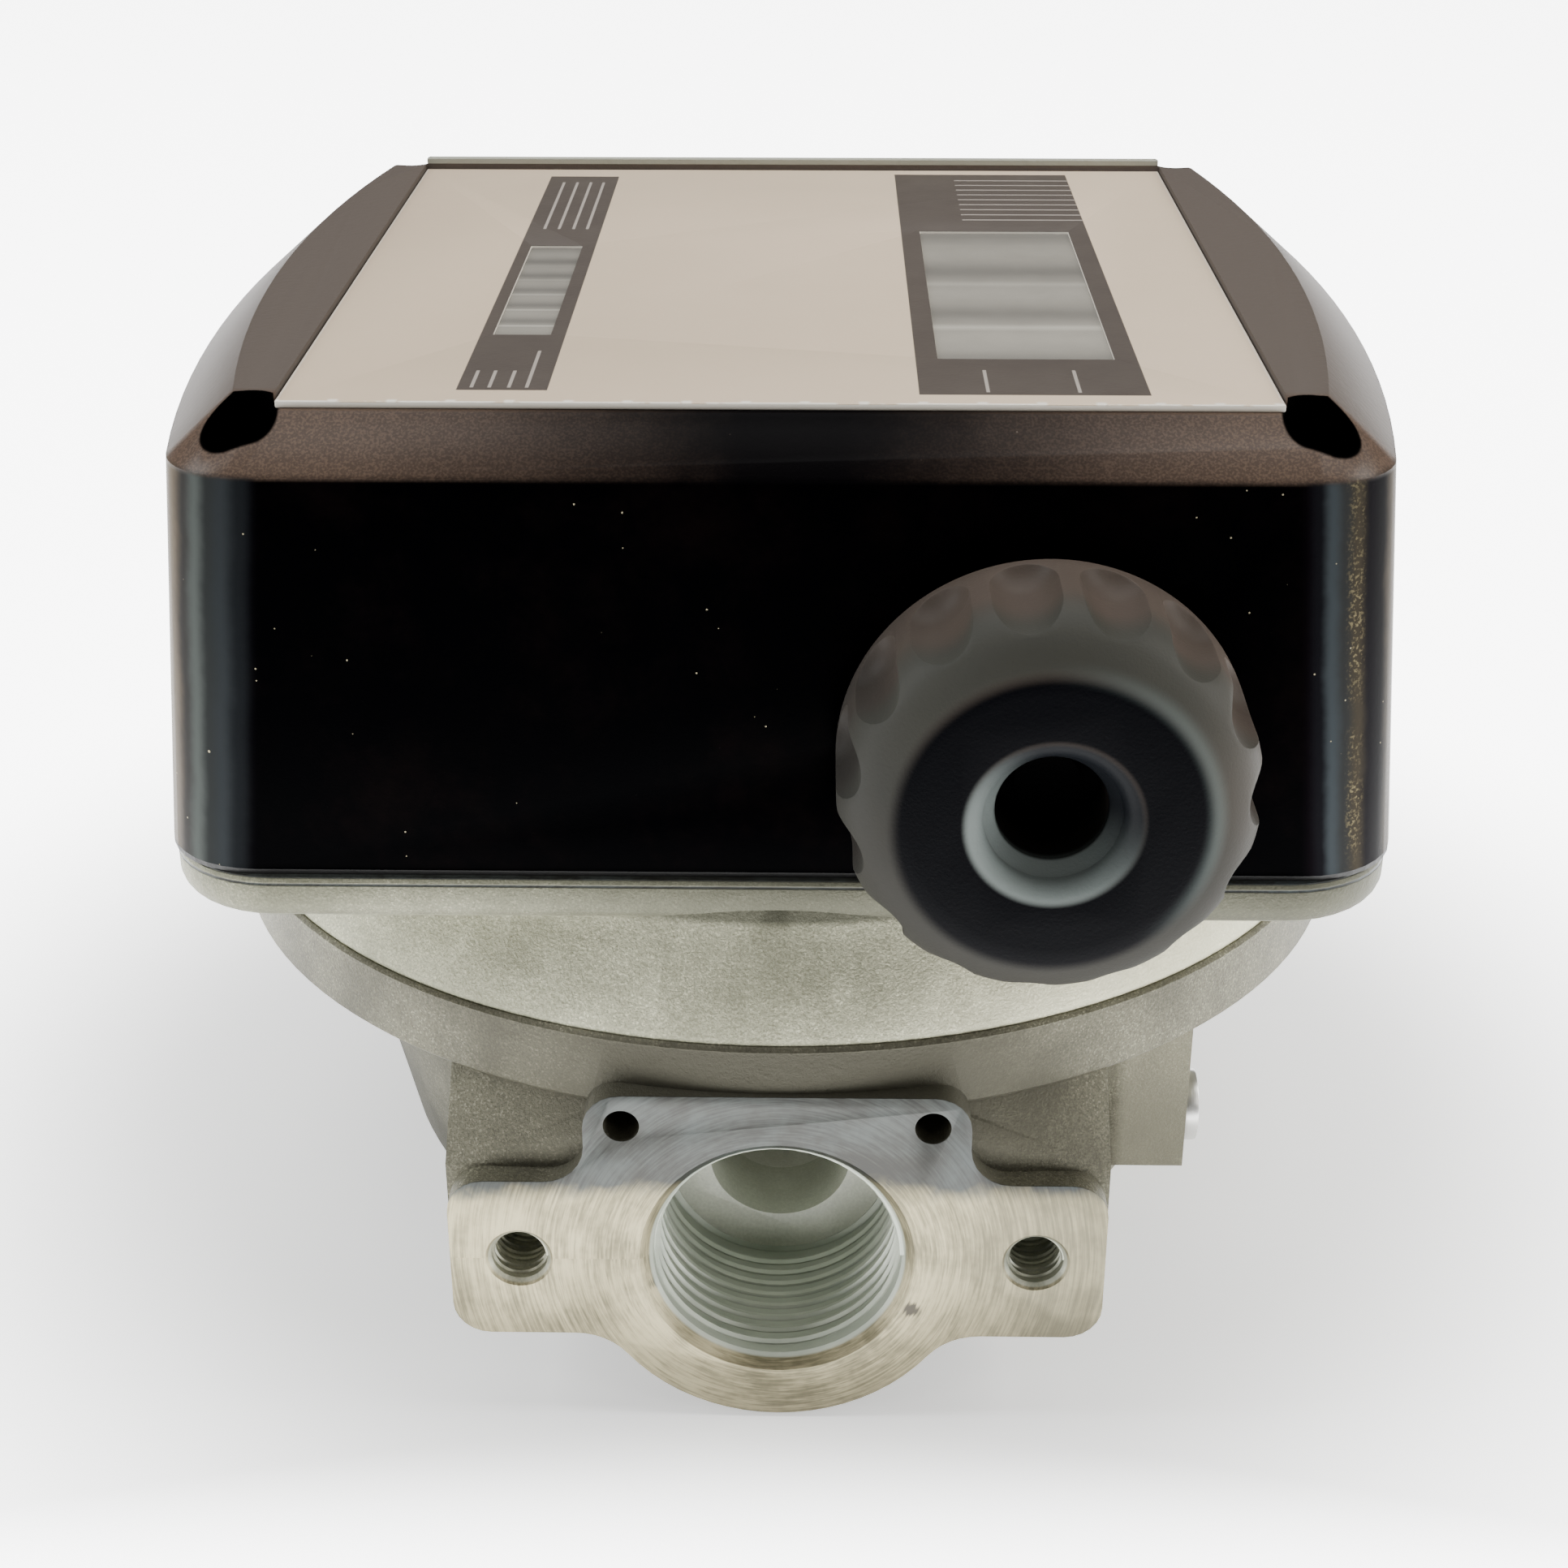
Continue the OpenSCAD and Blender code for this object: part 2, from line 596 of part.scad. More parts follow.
// Upper body: the neck and the tray that carries the register
neck_foot_h = 1;
seal_groove_w = 2.4;
seal_groove_depth = 2.2;
seal_groove_up = 2;
blind_floor = 0.6;
arbor_floor = 1;
module upper_body() color([0.70, 0.69, 0.64]) difference() {
    union() {
        rotate_extrude() polygon([[0, parting_z], [neck_foot_r, parting_z],
            [neck_foot_r, parting_z + neck_foot_h], [neck_top_r, tray_floor_z], [0, tray_floor_z]]);
        rod_z([0, 0], chamber_top_z, parting_z + over, spigot_r - spigot_fit);
        plan_shell(concat([for (a = [0:15:90])
            rim_level(rim_fillet * (1 - sin(a)), rim_bottom_z + rim_fillet * (1 - cos(a)))],
            [rim_level(0, rim_top_z - rim_edge), rim_level(rim_edge_in, rim_top_z)]));
    }
    plan_shell([draft_level(cover_wall, tray_floor_z), draft_level(cover_wall, rim_top_z + over)]);
    difference() {
        rod_z([0, 0], floor_top_z, tray_floor_z + over, neck_in_r);
        rod_z([0, 0], parting_z, hub_boss_z, hub_boss_r);
        rod_z(first_xy, parting_z, arbor_boss_z, arbor_boss_r);
        rod_z(second_xy, parting_z, arbor_boss_z, arbor_boss_r);
    }
    rod_y(batch_at, batch_units_y - drum_w / 2 - drum_room,
        batch_units_y + 2 * batch_pitch + drum_w / 2 + drum_room, batch_drum_r + drum_room);
    rod_z([0, 0], chamber_top_z - over, floor_under_z, spigot_r - spigot_wall);
    rod_z([0, 0], chamber_top_z - over, crank_room_z, crank_room_r);
    rod_z([0, 0], bush_z, seal_z, bush_r);
    rod_z([0, 0], seal_z, hub_boss_z + over, seal_r);
    rod_z(first_xy, floor_under_z + arbor_floor, arbor_boss_z + over, arbor_r);
    rod_z(second_xy, floor_under_z + arbor_floor, arbor_boss_z + over, arbor_r);
    translate([0, 0, chamber_top_z + seal_groove_up]) rotate_extrude()
        translate([spigot_r - seal_groove_depth, 0]) square([seal_groove_depth + over, seal_groove_w]);
    for (a = body_screw_angles) rotate([0, 0, a]) {
        rod_z([body_screw_pcr, 0], parting_z - over, body_well_z, body_screw_r + fit);
        rod_z([body_screw_pcr, 0], body_well_z, tray_floor_z + over, body_well_r);
    }
    for (x = [-post_x, post_x], y = [-post_y, post_y])
        rod_z([x, y], rim_bottom_z + blind_floor, tray_floor_z + over, cover_screw_r);
}

module cover_gasket() color([0.12, 0.12, 0.12]) difference() {
    plan_shell([draft_level(0, rim_top_z), draft_level(0, cover_bottom_z)]);
    plan_shell([draft_level(cover_wall, rim_top_z - over), draft_level(cover_wall, cover_bottom_z + over)]);
}

post_inset = 0.5;
strip_t = 1.65;
module cover_shape(inset) plan_shell([draft_level(inset, cover_bottom_z), even_level(inset, bevel_foot_z),
    even_level(bevel_w + inset, cover_top_z - inset)]);
module well(x, y) translate([x, y, well_floor_z]) rotate([0, 0, sign(x * y) * well_turn])
    linear_extrude(cover_top_z + over - well_floor_z) {
        square([2 * well_reach, 2 * well_r], center = true);
        for (side = [-1, 1]) translate([side * well_reach, 0]) circle(r = well_r);
    }
module register_cover() color([0.05, 0.05, 0.06]) difference() {
    union() {
        difference() {
            cover_shape(0);
            plan_shell([draft_level(cover_wall, cover_bottom_z - over),
                even_level(cover_wall, bevel_foot_z - cover_wall),
                even_level(cover_wall + bevel_w / 2, cover_roof_z)]);
        }
        intersection() {
            for (x = [-post_x, post_x], y = [-post_y, post_y])
                rod_z([x, y], cover_bottom_z, cover_roof_z + over, post_r);
            cover_shape(post_inset);
        }
        for (x = [-post_x, post_x], y = [-post_y, post_y])
            rod_z([x, y], tray_floor_z, cover_bottom_z + over, post_r - over);
        translate([-plate_half_w, plate_rear_d + plate_play, cover_roof_z])
            cube([2 * plate_half_w, strip_t, cover_top_z + strip_rise - cover_roof_z]);
    }
    translate([-plate_half_w - plate_play, -cover_half_d, recess_z])
        cube([2 * (plate_half_w + plate_play), cover_half_d + plate_rear_d + plate_play, 2 * cover_wall]);
    for (x = [-post_x, post_x], y = [-post_y, post_y]) {
        well(x, y);
        rod_z([x, y], tray_floor_z - over, well_floor_z + over, cover_screw_r + fit);
    }
    for (w = windows) {
        translate([w[0], w[1], cover_roof_z]) cube([w[2], w[3], 4 * cover_wall], center = true);
        translate([w[0], w[1], recess_z]) cube([w[2] + 2 * (pane_margin + fit),
            w[3] + 2 * (pane_margin + fit), 2 * pane_t], center = true);
    }
    rod_y(batch_at, -cover_half_d - over, -head_half_d + 2 * cover_wall, shaft_hole_r);
}

// The two windows, as place and size
windows = [[batch_win_x, batch_win_y, batch_win_w, batch_win_l],
    [total_x, total_win_y, total_win_w, total_win_l]];
module face_plate() color([0.80, 0.77, 0.71]) difference() {
    translate([-plate_half_w, -plate_front_d, recess_z])
        cube([2 * plate_half_w, plate_front_d + plate_rear_d, plate_t]);
    for (w = windows) translate([w[0], w[1], recess_z]) cube([w[2], w[3], 4 * plate_t], center = true);
}
module window_pane(w) {
    translate([w[0], w[1], recess_z - pane_t / 2])
        cube([w[2] + 2 * pane_margin, w[3] + 2 * pane_margin, pane_t], center = true);
    translate([w[0], w[1], recess_z]) cube([w[2] - 2 * fit, w[3] - 2 * fit, plate_t], center = true);
}
module batch_window() color([0.62, 0.65, 0.66, 0.6]) window_pane(windows[0]);
module total_window() color([0.62, 0.65, 0.66, 0.6]) window_pane(windows[1]);

module cap_screw(z_seat, head_r, head_h, shank_r, l, drive_r) difference() {
    union() {
        translate([0, 0, z_seat]) cylinder(h = head_h, r = head_r);
        translate([0, 0, z_seat - l]) cylinder(h = l + tiny, r = shank_r);
    }
    translate([0, 0, z_seat + head_h / 2]) cylinder(h = head_h, r = drive_r, $fn = 6);
}
screw_end_gap = 1;
cover_drive_r = 1.4;
body_drive_r = 2;
body_seal_wire_r = 1.1;
body_seal_up = 3.2;
nozzle_seal_wire_r = 0.78;
nozzle_groove_depth = 1.6;
nozzle_groove_w = 2.2;
nozzle_groove_back = 2.6;
nozzle_groove_y = nozzle_seat_y + nozzle_groove_back;
shaft_seal_wire_r = 0.95;
shaft_seal_in = 0.4;
shaft_ring_up = 1;
module cover_screws() color([0.55, 0.55, 0.56]) for (x = [-post_x, post_x], y = [-post_y, post_y])
    translate([x, y, 0]) cap_screw(well_floor_z, cover_head_r, cover_head_h, cover_screw_r,
        well_floor_z - rim_bottom_z - screw_end_gap, cover_drive_r);
module body_screws() color([0.55, 0.55, 0.56]) for (a = body_screw_angles) rotate([0, 0, a])
    translate([body_screw_pcr, 0, 0]) cap_screw(body_well_z, body_head_r, body_head_h, body_screw_r,
        body_well_z - parting_z + body_thread_l - screw_end_gap, body_drive_r);
module o_rings() color([0.08, 0.08, 0.08]) {
    translate([0, 0, chamber_top_z + body_seal_up]) ring_seal(spigot_r - body_seal_wire_r, body_seal_wire_r);
    along_y([0, port_axis_h], nozzle_groove_y + nozzle_groove_w / 2)
        ring_seal(passage_r - nozzle_groove_depth / 2, nozzle_seal_wire_r);
    along_y(batch_at, -head_half_d + shaft_seal_in)
        ring_seal(reset_shaft_r + shaft_ring_up, shaft_seal_wire_r);
}

// Measuring chamber: a spherical wall between two cones, split at the disc's mid plane
module cavity_half(sign) {
    rim_h = sphere_r * tan(tilt) + disc_t / 2 / cos(tilt) + chamber_play;
    mid_h = disc_t / 2 / cos(tilt) + chamber_play;
    translate([0, 0, chamber_z]) intersection() {
        sphere(r = sphere_r);
        rotate_extrude() polygon([[0, -sign * over], [sphere_r + over, -sign * over],
            [sphere_r + over, sign * (rim_h + over * tan(tilt))], [0, sign * mid_h]]);
    }
    translate([0, 0, chamber_z]) sphere(r = ball_r + chamber_play);
}
partition_line = -50;
partition_t = 1.2;
partition_tongue = 2;
duct_reach = 5.5;
inlet_turn = 24;
pin_well_in = 2.3;
pin_well_start = ball_r - pin_well_in;
pin_well_low_r = 5.6;
pin_well_top_r = 8.6;
disc_slot_w = 3.8;
disc_slot_in = 0.6;
outlet_r = 9;
inlet_w = 16;
module partition_shape(play, t) {
    rim_h = sphere_r * tan(tilt) + disc_t / 2 / cos(tilt) + chamber_play - play;
    ball_x = ball_r + 2 * chamber_play;
    mid_h = ball_x * tan(tilt) + disc_t / 2 / cos(tilt) + chamber_play - play;
    tongue_x = sphere_r + partition_tongue - play;
    translate([0, 0, chamber_z]) rotate([90, 0, partition_line]) translate([0, 0, -t / 2]) linear_extrude(t)
        difference() {
            polygon([[ball_x / 2, -mid_h], [ball_x, -mid_h], [sphere_r, -rim_h], [tongue_x, -rim_h],
                [tongue_x, rim_h], [sphere_r, rim_h], [ball_x, mid_h], [ball_x / 2, mid_h]]);
            circle(r = ball_x);
        }
}
module partition_plate() color([0.70, 0.71, 0.72]) partition_shape(fit, partition_t);
module chamber_ports() {
    rod_y([0, port_axis_h], -chamber_r - over, -sphere_r + duct_reach, outlet_r);
    rotate([0, 0, partition_line + inlet_turn])
        translate([sphere_r - duct_reach, -inlet_w / 2, chamber_z - inlet_w / 2])
        cube([chamber_r, inlet_w, inlet_w]);
}
module chamber_lower() color([0.90, 0.90, 0.86]) difference() {
    rod_z([0, 0], pocket_floor_z, chamber_z, chamber_r);
    cavity_half(-1);
    partition_shape(0, partition_t + 2 * fit);
    chamber_ports();
}
module chamber_upper() color([0.90, 0.90, 0.86]) difference() {
    union() {
        rod_z([0, 0], chamber_z, ledge_z + tiny, chamber_r);
        rod_z([0, 0], ledge_z, chamber_top_z, spigot_r - spigot_fit);
    }
    cavity_half(1);
    partition_shape(0, partition_t + 2 * fit);
    chamber_ports();
    translate([0, 0, chamber_z + pin_well_start]) cylinder(
        h = chamber_top_z - chamber_z - pin_well_start + over, r1 = pin_well_low_r, r2 = pin_well_top_r);
}
nozzle_in = 4;
module outlet_nozzle() color([0.90, 0.90, 0.86]) difference() {
    union() {
        rod_y([0, port_axis_h], nozzle_face_y + tiny, -chamber_r + nozzle_in, passage_r - fit);
        rod_y([0, port_axis_h], nozzle_face_y, nozzle_seat_y, nozzle_head_r);
    }
    rod_y([0, port_axis_h], nozzle_face_y - over, -chamber_r + nozzle_in + over, outlet_r);
    rod_z([0, 0], 0, parting_z, chamber_r);
    along_y([0, port_axis_h], nozzle_groove_y) rotate_extrude()
        translate([passage_r - nozzle_groove_depth, 0])
            square([nozzle_groove_depth + over, nozzle_groove_w]);
}

strainer_r = passage_r - 0.2;
strainer_wall = 0.8;
strainer_l = 5.5;
strainer_hole_r = 1;
strainer_pitch = 2.9;
module inlet_strainer() color([0.75, 0.76, 0.77]) rotate([0, 0, 180]) difference() {
    union() {
        rod_y([0, port_axis_h], nozzle_face_y, nozzle_seat_y, nozzle_head_r);
        rod_y([0, port_axis_h], nozzle_seat_y - tiny, nozzle_seat_y + strainer_l, strainer_r);
    }
    rod_y([0, port_axis_h], nozzle_face_y - over, nozzle_seat_y + strainer_l - strainer_wall,
        strainer_r - strainer_wall);
    for (ring = [0:3], k = [0:max(0, 6 * ring - 1)]) let (a = 60 * k / max(1, ring))
        rod_y([strainer_pitch * ring * cos(a), port_axis_h + strainer_pitch * ring * sin(a)],
            nozzle_seat_y, nozzle_seat_y + strainer_l + over, strainer_hole_r);
}

// Disc, pin and crank: the disc is tilted about X, so its pin leans to the front at rest
module tilted() translate([0, 0, chamber_z]) rotate([tilt, 0, 0]) children();
module nutating_disc() color([0.16, 0.16, 0.17]) tilted() difference() {
    union() {
        sphere(r = ball_r);
        intersection() {
            sphere(r = sphere_r - chamber_play);
            cube([2 * sphere_r, 2 * sphere_r, disc_t], center = true);
        }
    }
    rotate([0, 0, partition_line]) translate([ball_r - disc_slot_in, -disc_slot_w / 2, -ball_r])
        cube([sphere_r, disc_slot_w, 2 * ball_r]);
    cylinder(h = ball_r + over, r = pin_r);
}
module disc_pin() color([0.72, 0.73, 0.75]) tilted() cylinder(h = pin_l, r = pin_r);
module drive_crank() color([0.78, 0.62, 0.30]) difference() {
    rod_z([0, 0], crank_z, crank_z + crank_t, crank_r);
    tilted() cylinder(h = pin_l + crank_r, r = pin_r + fit);
    rod_z([0, 0], crank_z + shaft_socket_floor, crank_z + crank_t + over, drive_shaft_r);
}
module drive_shaft() color([0.72, 0.73, 0.75])
    rod_z([0, 0], crank_z + shaft_socket_floor, drive_shaft_top_z, drive_shaft_r);
module shaft_bush() color([0.78, 0.62, 0.30]) difference() {
    rod_z([0, 0], bush_z, seal_z, bush_r);
    rod_z([0, 0], bush_z - over, seal_z + over, drive_shaft_r + fit);
}
module shaft_seal() color([0.10, 0.10, 0.10]) difference() {
    rod_z([0, 0], seal_z, hub_boss_z, seal_r);
    rod_z([0, 0], seal_z - over, hub_boss_z + over, drive_shaft_r + fit);
    rod_z([0, 0], seal_z + seal_skin_t, hub_boss_z - seal_skin_t, seal_r - seal_wall);
}
module drive_pinion() color([0.90, 0.88, 0.80]) difference() {
    gear_z([0, 0], first_low_z - hub_over, pinion_t, pinion_n, gear_m, crank_turn);
    rod_z([0, 0], first_low_z - over, first_low_z + pinion_t + over, drive_shaft_r);
}

module stepped_gear(p, low_z, turn, hub_z, pinion_z, pinion_top_z) difference() {
    union() {
        gear_z(p, low_z, gear_t, wheel_n, gear_m, turn);
        rod_z(p, hub_z, pinion_top_z, gear_hub_r);
        gear_z(p, pinion_z, pinion_top_z - pinion_z, pinion_n, gear_m, turn);
    }
    rod_z(p, hub_z - over, pinion_top_z + over, arbor_r + fit);
}
module first_gear() color([0.90, 0.88, 0.80])
    stepped_gear(first_xy, first_low_z, first_turn, arbor_boss_z, second_low_z - hub_over,
        second_low_z - hub_over + pinion_t);
module second_gear() color([0.90, 0.88, 0.80])
    stepped_gear(second_xy, second_low_z, second_turn, arbor_boss_z, third_mid_z - gear_t / 2,
        third_mid_z + gear_t / 2);
module arbor(p, top_z) {
    rod_z(p, floor_under_z + arbor_floor, top_z + clip_gap + clip_t, arbor_r);
    rod_z(p, top_z + clip_gap, top_z + clip_gap + clip_t, clip_r);
}
module gear_arbors() color([0.72, 0.73, 0.75]) {
    arbor(first_xy, second_low_z - hub_over + pinion_t);
    arbor(second_xy, third_mid_z + gear_t / 2);
    rod_y(batch_idler_at, front_frame_y, coarse_y + gear_t + shaft_over, arbor_r);
    rod_y(batch_idler_at, frame_in_y, coarse_y - plane_gap / 2, clip_r);
    rod_y(total_idler_at, front_frame_y, fine_y + fine_gear_t + plane_gap / 2, arbor_r);
}

module crown_gear() color([0.90, 0.88, 0.80]) {
    pitch = 2 * PI * crown_pitch_r / crown_n;
    root_half = pitch * crown_tooth_share + crown_ded * tan(pressure_angle);
    tip_half = pitch * crown_tooth_share - crown_add * tan(pressure_angle);
    difference() {
        union() {
            rod_y(lay_at, crown_y, crown_y + crown_t, crown_pitch_r + crown_face_w / 2);
            for (k = [0:crown_n - 1]) along_y(lay_at, crown_y + crown_t - tiny)
                rotate([0, 0, crown_turn + k * 360 / crown_n])
                    translate([crown_pitch_r - crown_face_w / 2, 0, 0])
                    rotate([90, 0, 90]) linear_extrude(crown_face_w)
                        polygon([[-root_half, 0], [root_half, 0], [tip_half, crown_ded + crown_add],
                            [-tip_half, crown_ded + crown_add]]);
        }
        rod_y(lay_at, crown_y - over, crown_y + 4 * crown_t, arbor_r);
    }
}
module lay_shaft() color([0.72, 0.73, 0.75]) {
    rod_y(lay_at, front_frame_y - shaft_over, rear_frame_y + frame_t + shaft_over, arbor_r);
    gear_y(lay_at, fine_y, fine_gear_t, lay_fine_n, fine_m, crown_turn);
    gear_y(lay_at, coarse_y, gear_t, lay_coarse_n, gear_m, crown_turn);
}
module batch_idler() color([0.90, 0.88, 0.80]) difference() {
    gear_y(batch_idler_at, coarse_y, gear_t, batch_idler_n, gear_m, batch_idler_turn);
    rod_y(batch_idler_at, coarse_y - over, coarse_y + gear_t + over, arbor_r + fit);
}
module total_idler() color([0.90, 0.88, 0.80]) difference() {
    gear_y(total_idler_at, fine_y, fine_gear_t, total_idler_n, fine_m, total_idler_turn);
    rod_y(total_idler_at, fine_y - over, fine_y + fine_gear_t + over, arbor_r + fit);
}

// Register frame
leg_w = 9;
foot_l = 5.5;
foot_hole_r = 1.5;
screw_bore_l = 6;
screw_l = 5;
module frame_plate(y, foot_z, foot_dir) difference() {
    union() {
        along_y([0, 0], y) linear_extrude(frame_t) {
            translate([-frame_half_w, frame_low_z]) square([2 * frame_half_w, frame_top_z - frame_low_z]);
            for (s = [-1, 1]) translate([s * (frame_half_w - leg_w / 2), (foot_z + frame_low_z + over) / 2])
                square([leg_w, frame_low_z + over - foot_z], center = true);
        }
        for (s = [-1, 1]) translate([s * (frame_half_w - leg_w / 2), y + (frame_t + foot_dir * foot_l) / 2,
            foot_z + frame_t / 2]) cube([leg_w, foot_l + frame_t, frame_t], center = true);
    }
    for (s = [-1, 1])
        rod_z([s * (frame_half_w - leg_w / 2), y + (frame_t + foot_dir * (foot_l + frame_t)) / 2],
            foot_z - over, foot_z + frame_t + over, foot_hole_r);
    for (p = pillar_places) rod_y(p, y - over, y + frame_t + over, foot_hole_r);
    for (p = [lay_at, total_at]) rod_y(p, y - over, y + frame_t + over, arbor_r + fit);
    rod_y(batch_at, y - over, y + frame_t + over, reset_shaft_r + fit);
    rod_y(total_pinion_at, y - over, y + frame_t + over, total_pin_r);
}
module front_frame() color([0.66, 0.67, 0.68]) difference() {
    frame_plate(front_frame_y, tray_floor_z, -1);
    for (p = [batch_idler_at, total_idler_at]) rod_y(p, front_frame_y - over, frame_in_y + over, arbor_r);
}
module rear_frame() color([0.66, 0.67, 0.68]) frame_plate(rear_frame_y, floor_top_z, 1);
module frame_pillars() color([0.72, 0.73, 0.75]) for (p = pillar_places) difference() {
    rod_y(p, frame_in_y, rear_frame_y, pillar_r);
    rod_y(p, frame_in_y - over, frame_in_y + screw_bore_l, small_screw_r);
    rod_y(p, rear_frame_y - screw_bore_l, rear_frame_y + over, small_screw_r);
}
module frame_screws() color([0.55, 0.55, 0.56]) for (p = pillar_places) {
    rod_y(p, front_frame_y - small_head_h, front_frame_y, small_head_r);
    rod_y(p, front_frame_y - tiny, frame_in_y + screw_l, small_screw_r);
    rod_y(p, rear_frame_y + frame_t, rear_frame_y + frame_t + small_head_h, small_head_r);
    rod_y(p, rear_frame_y - screw_l, rear_frame_y + frame_t + tiny, small_screw_r);
}

// Reset shaft and knob
module reset_shaft() color([0.72, 0.73, 0.75]) difference() {
    rod_y(batch_at, knob_shaft_end_y, rear_frame_y + frame_t + over, reset_shaft_r);
    rod_y(batch_at, knob_shaft_end_y - over, knob_shaft_end_y + knob_screw_l + over, small_screw_r);
}
module reset_knob() color([0.17, 0.17, 0.18]) difference() {
    along_y(batch_at, knob_front_y) rotate_extrude() polygon(concat(
        [[reset_shaft_r, knob_hole_depth], [knob_hole_r, knob_hole_depth], [knob_hole_r, knob_dish_depth]],
        arc([knob_dish_r, knob_dish_edge_r], knob_dish_edge_r, 180, 270, 6),
        [[knob_ring_r - over, 0]],
        arc([knob_r - knob_shoulder_r, knob_shoulder_r], knob_shoulder_r, -75, 0, 10),
        [[knob_r, knob_l - knob_edge], [knob_r - knob_edge, knob_l], [reset_shaft_r, knob_l]]));
    for (k = [0:knob_flutes - 1]) along_y(batch_at, knob_front_y)
        rotate([0, 0, flute_turn + k * 360 / knob_flutes])
            translate([knob_r + flute_r - flute_bite, 0, -over]) {
                cylinder(h = flute_end + over, r = flute_r);
                translate([0, 0, flute_end + over]) sphere(r = flute_r);
            }
}
module knob_screw() color([0.10, 0.10, 0.11]) {
    rod_y(batch_at, knob_seat_y - knob_screw_head_t, knob_seat_y, knob_screw_head_r);
    rod_y(batch_at, knob_seat_y - tiny, knob_shaft_end_y + knob_screw_l, small_screw_r);
}

// Number drums
module notch_wedge(line) polygon([[0, 0], 2 * lock_r * [cos(line - notch_turn), sin(line - notch_turn)],
    2 * lock_r * [cos(line + notch_turn), sin(line + notch_turn)]]);
module transfer_segment(t, line) {
    linear_extrude(t) difference() {
        circle(r = lock_r);
        notch_wedge(line);
    }
    linear_extrude(t) circle(r = lock_disc_r);
    linear_extrude(t) intersection() {
        gear_outline(ring_n, transfer_m, line + 180 / ring_n);
        notch_wedge(line);
    }
}
module batch_drum(i) {
    mid = batch_units_y + i * batch_pitch;
    front = mid - drum_w / 2;
    web = front + ring_t + web_gap;
    difference() {
        union() {
            difference() {
                rod_y(batch_at, front, front + drum_w, batch_drum_r);
                rod_y(batch_at, front - over, front + drum_w + over, batch_drum_r - drum_skin);
            }
            rod_y(batch_at, web, web + drum_web_t, batch_drum_r - drum_skin / 2);
            rod_y(batch_at, web, front + drum_w, drum_hub_r);
            if (i < 2) along_y(batch_at, front + drum_w - ring_t)
                transfer_segment(ring_t, transfer_line + 180);
            if (i > 0) gear_y(batch_at, front + ring_gap, ring_t + web_gap - ring_gap + tiny, ring_n,
                transfer_m, transfer_line + 180 / ring_n);
        }
        rod_y(batch_at, front - over, front + drum_w + over, reset_shaft_r + fit);
    }
}
module units_drum() color([0.93, 0.93, 0.90]) batch_drum(0);
module tens_drum() color([0.93, 0.93, 0.90]) batch_drum(1);
module hundreds_drum() color([0.93, 0.93, 0.90]) batch_drum(2);
module batch_drive_gear() color([0.90, 0.88, 0.80]) difference() {
    union() {
        gear_y(batch_at, coarse_y, gear_t, batch_gear_n, gear_m, batch_gear_turn);
        rod_y(batch_at, coarse_y, batch_units_y - drum_w / 2 + ring_t + web_gap, drum_hub_r);
    }
    rod_y(batch_at, coarse_y - over, batch_units_y, reset_shaft_r + fit);
}
function gap_y(i) = batch_units_y + (i + 0.5) * batch_pitch;
module transfer_plates() color([0.66, 0.67, 0.68]) for (i = [0, 1]) difference() {
    along_y([0, 0], gap_y(i) - transfer_plate_t / 2) linear_extrude(transfer_plate_t) {
        translate(batch_at) circle(r = drum_hub_r + transfer_hub_over);
        translate(batch_at) rotate([0, 0, transfer_line]) translate([0, -transfer_arm_half])
            square([norm(pillar_places[2] - batch_at), 2 * transfer_arm_half]);
        translate(pillar_places[2]) circle(r = 2 * pillar_r);
    }
    rod_y(batch_at, gap_y(i) - over, gap_y(i) + over, reset_shaft_r + 4 * fit);
    rod_y(pillar_places[2], gap_y(i) - over, gap_y(i) + over, pillar_r);
    rod_y(batch_at + transfer_d * [cos(transfer_line), sin(transfer_line)], gap_y(i) - over, gap_y(i) + over,
        transfer_pin_r + fit);
}
pinion_thick_share = 0.4;
pinion_add_share = 0.9;
pinion_ded_share = 1.1;
module pinion_outline(line)
    gear_outline(transfer_n, transfer_m, line, pinion_thick_share, pinion_add_share, pinion_ded_share);
// Transfer pinion: every second tooth is cut short on the side of the faster drum
module short_teeth(line) intersection() {
    pinion_outline(line);
    union() {
        circle(r = transfer_m * (transfer_n / 2 - pinion_ded_share) + tiny);
        for (k = [0:3]) rotate([0, 0, line + 45 + 90 * k]) translate([0, -short_tooth_half])
            square([2 * transfer_n, 2 * short_tooth_half]);
    }
}
module batch_pinion(i) along_y(batch_at + transfer_d * [cos(transfer_line), sin(transfer_line)], gap_y(i)) {
    half_gap = drum_gap / 2 + transfer_gap;
    translate([0, 0, half_gap]) linear_extrude(transfer_t) pinion_outline(transfer_line + 180);
    translate([0, 0, -half_gap - transfer_t]) linear_extrude(transfer_t) short_teeth(transfer_line + 180);
    translate([0, 0, -half_gap - transfer_t / 2])
        cylinder(h = 2 * half_gap + transfer_t, r = transfer_pin_r);
}
module batch_pinion_1() color([0.85, 0.85, 0.80]) batch_pinion(0);
module batch_pinion_2() color([0.85, 0.85, 0.80]) batch_pinion(1);

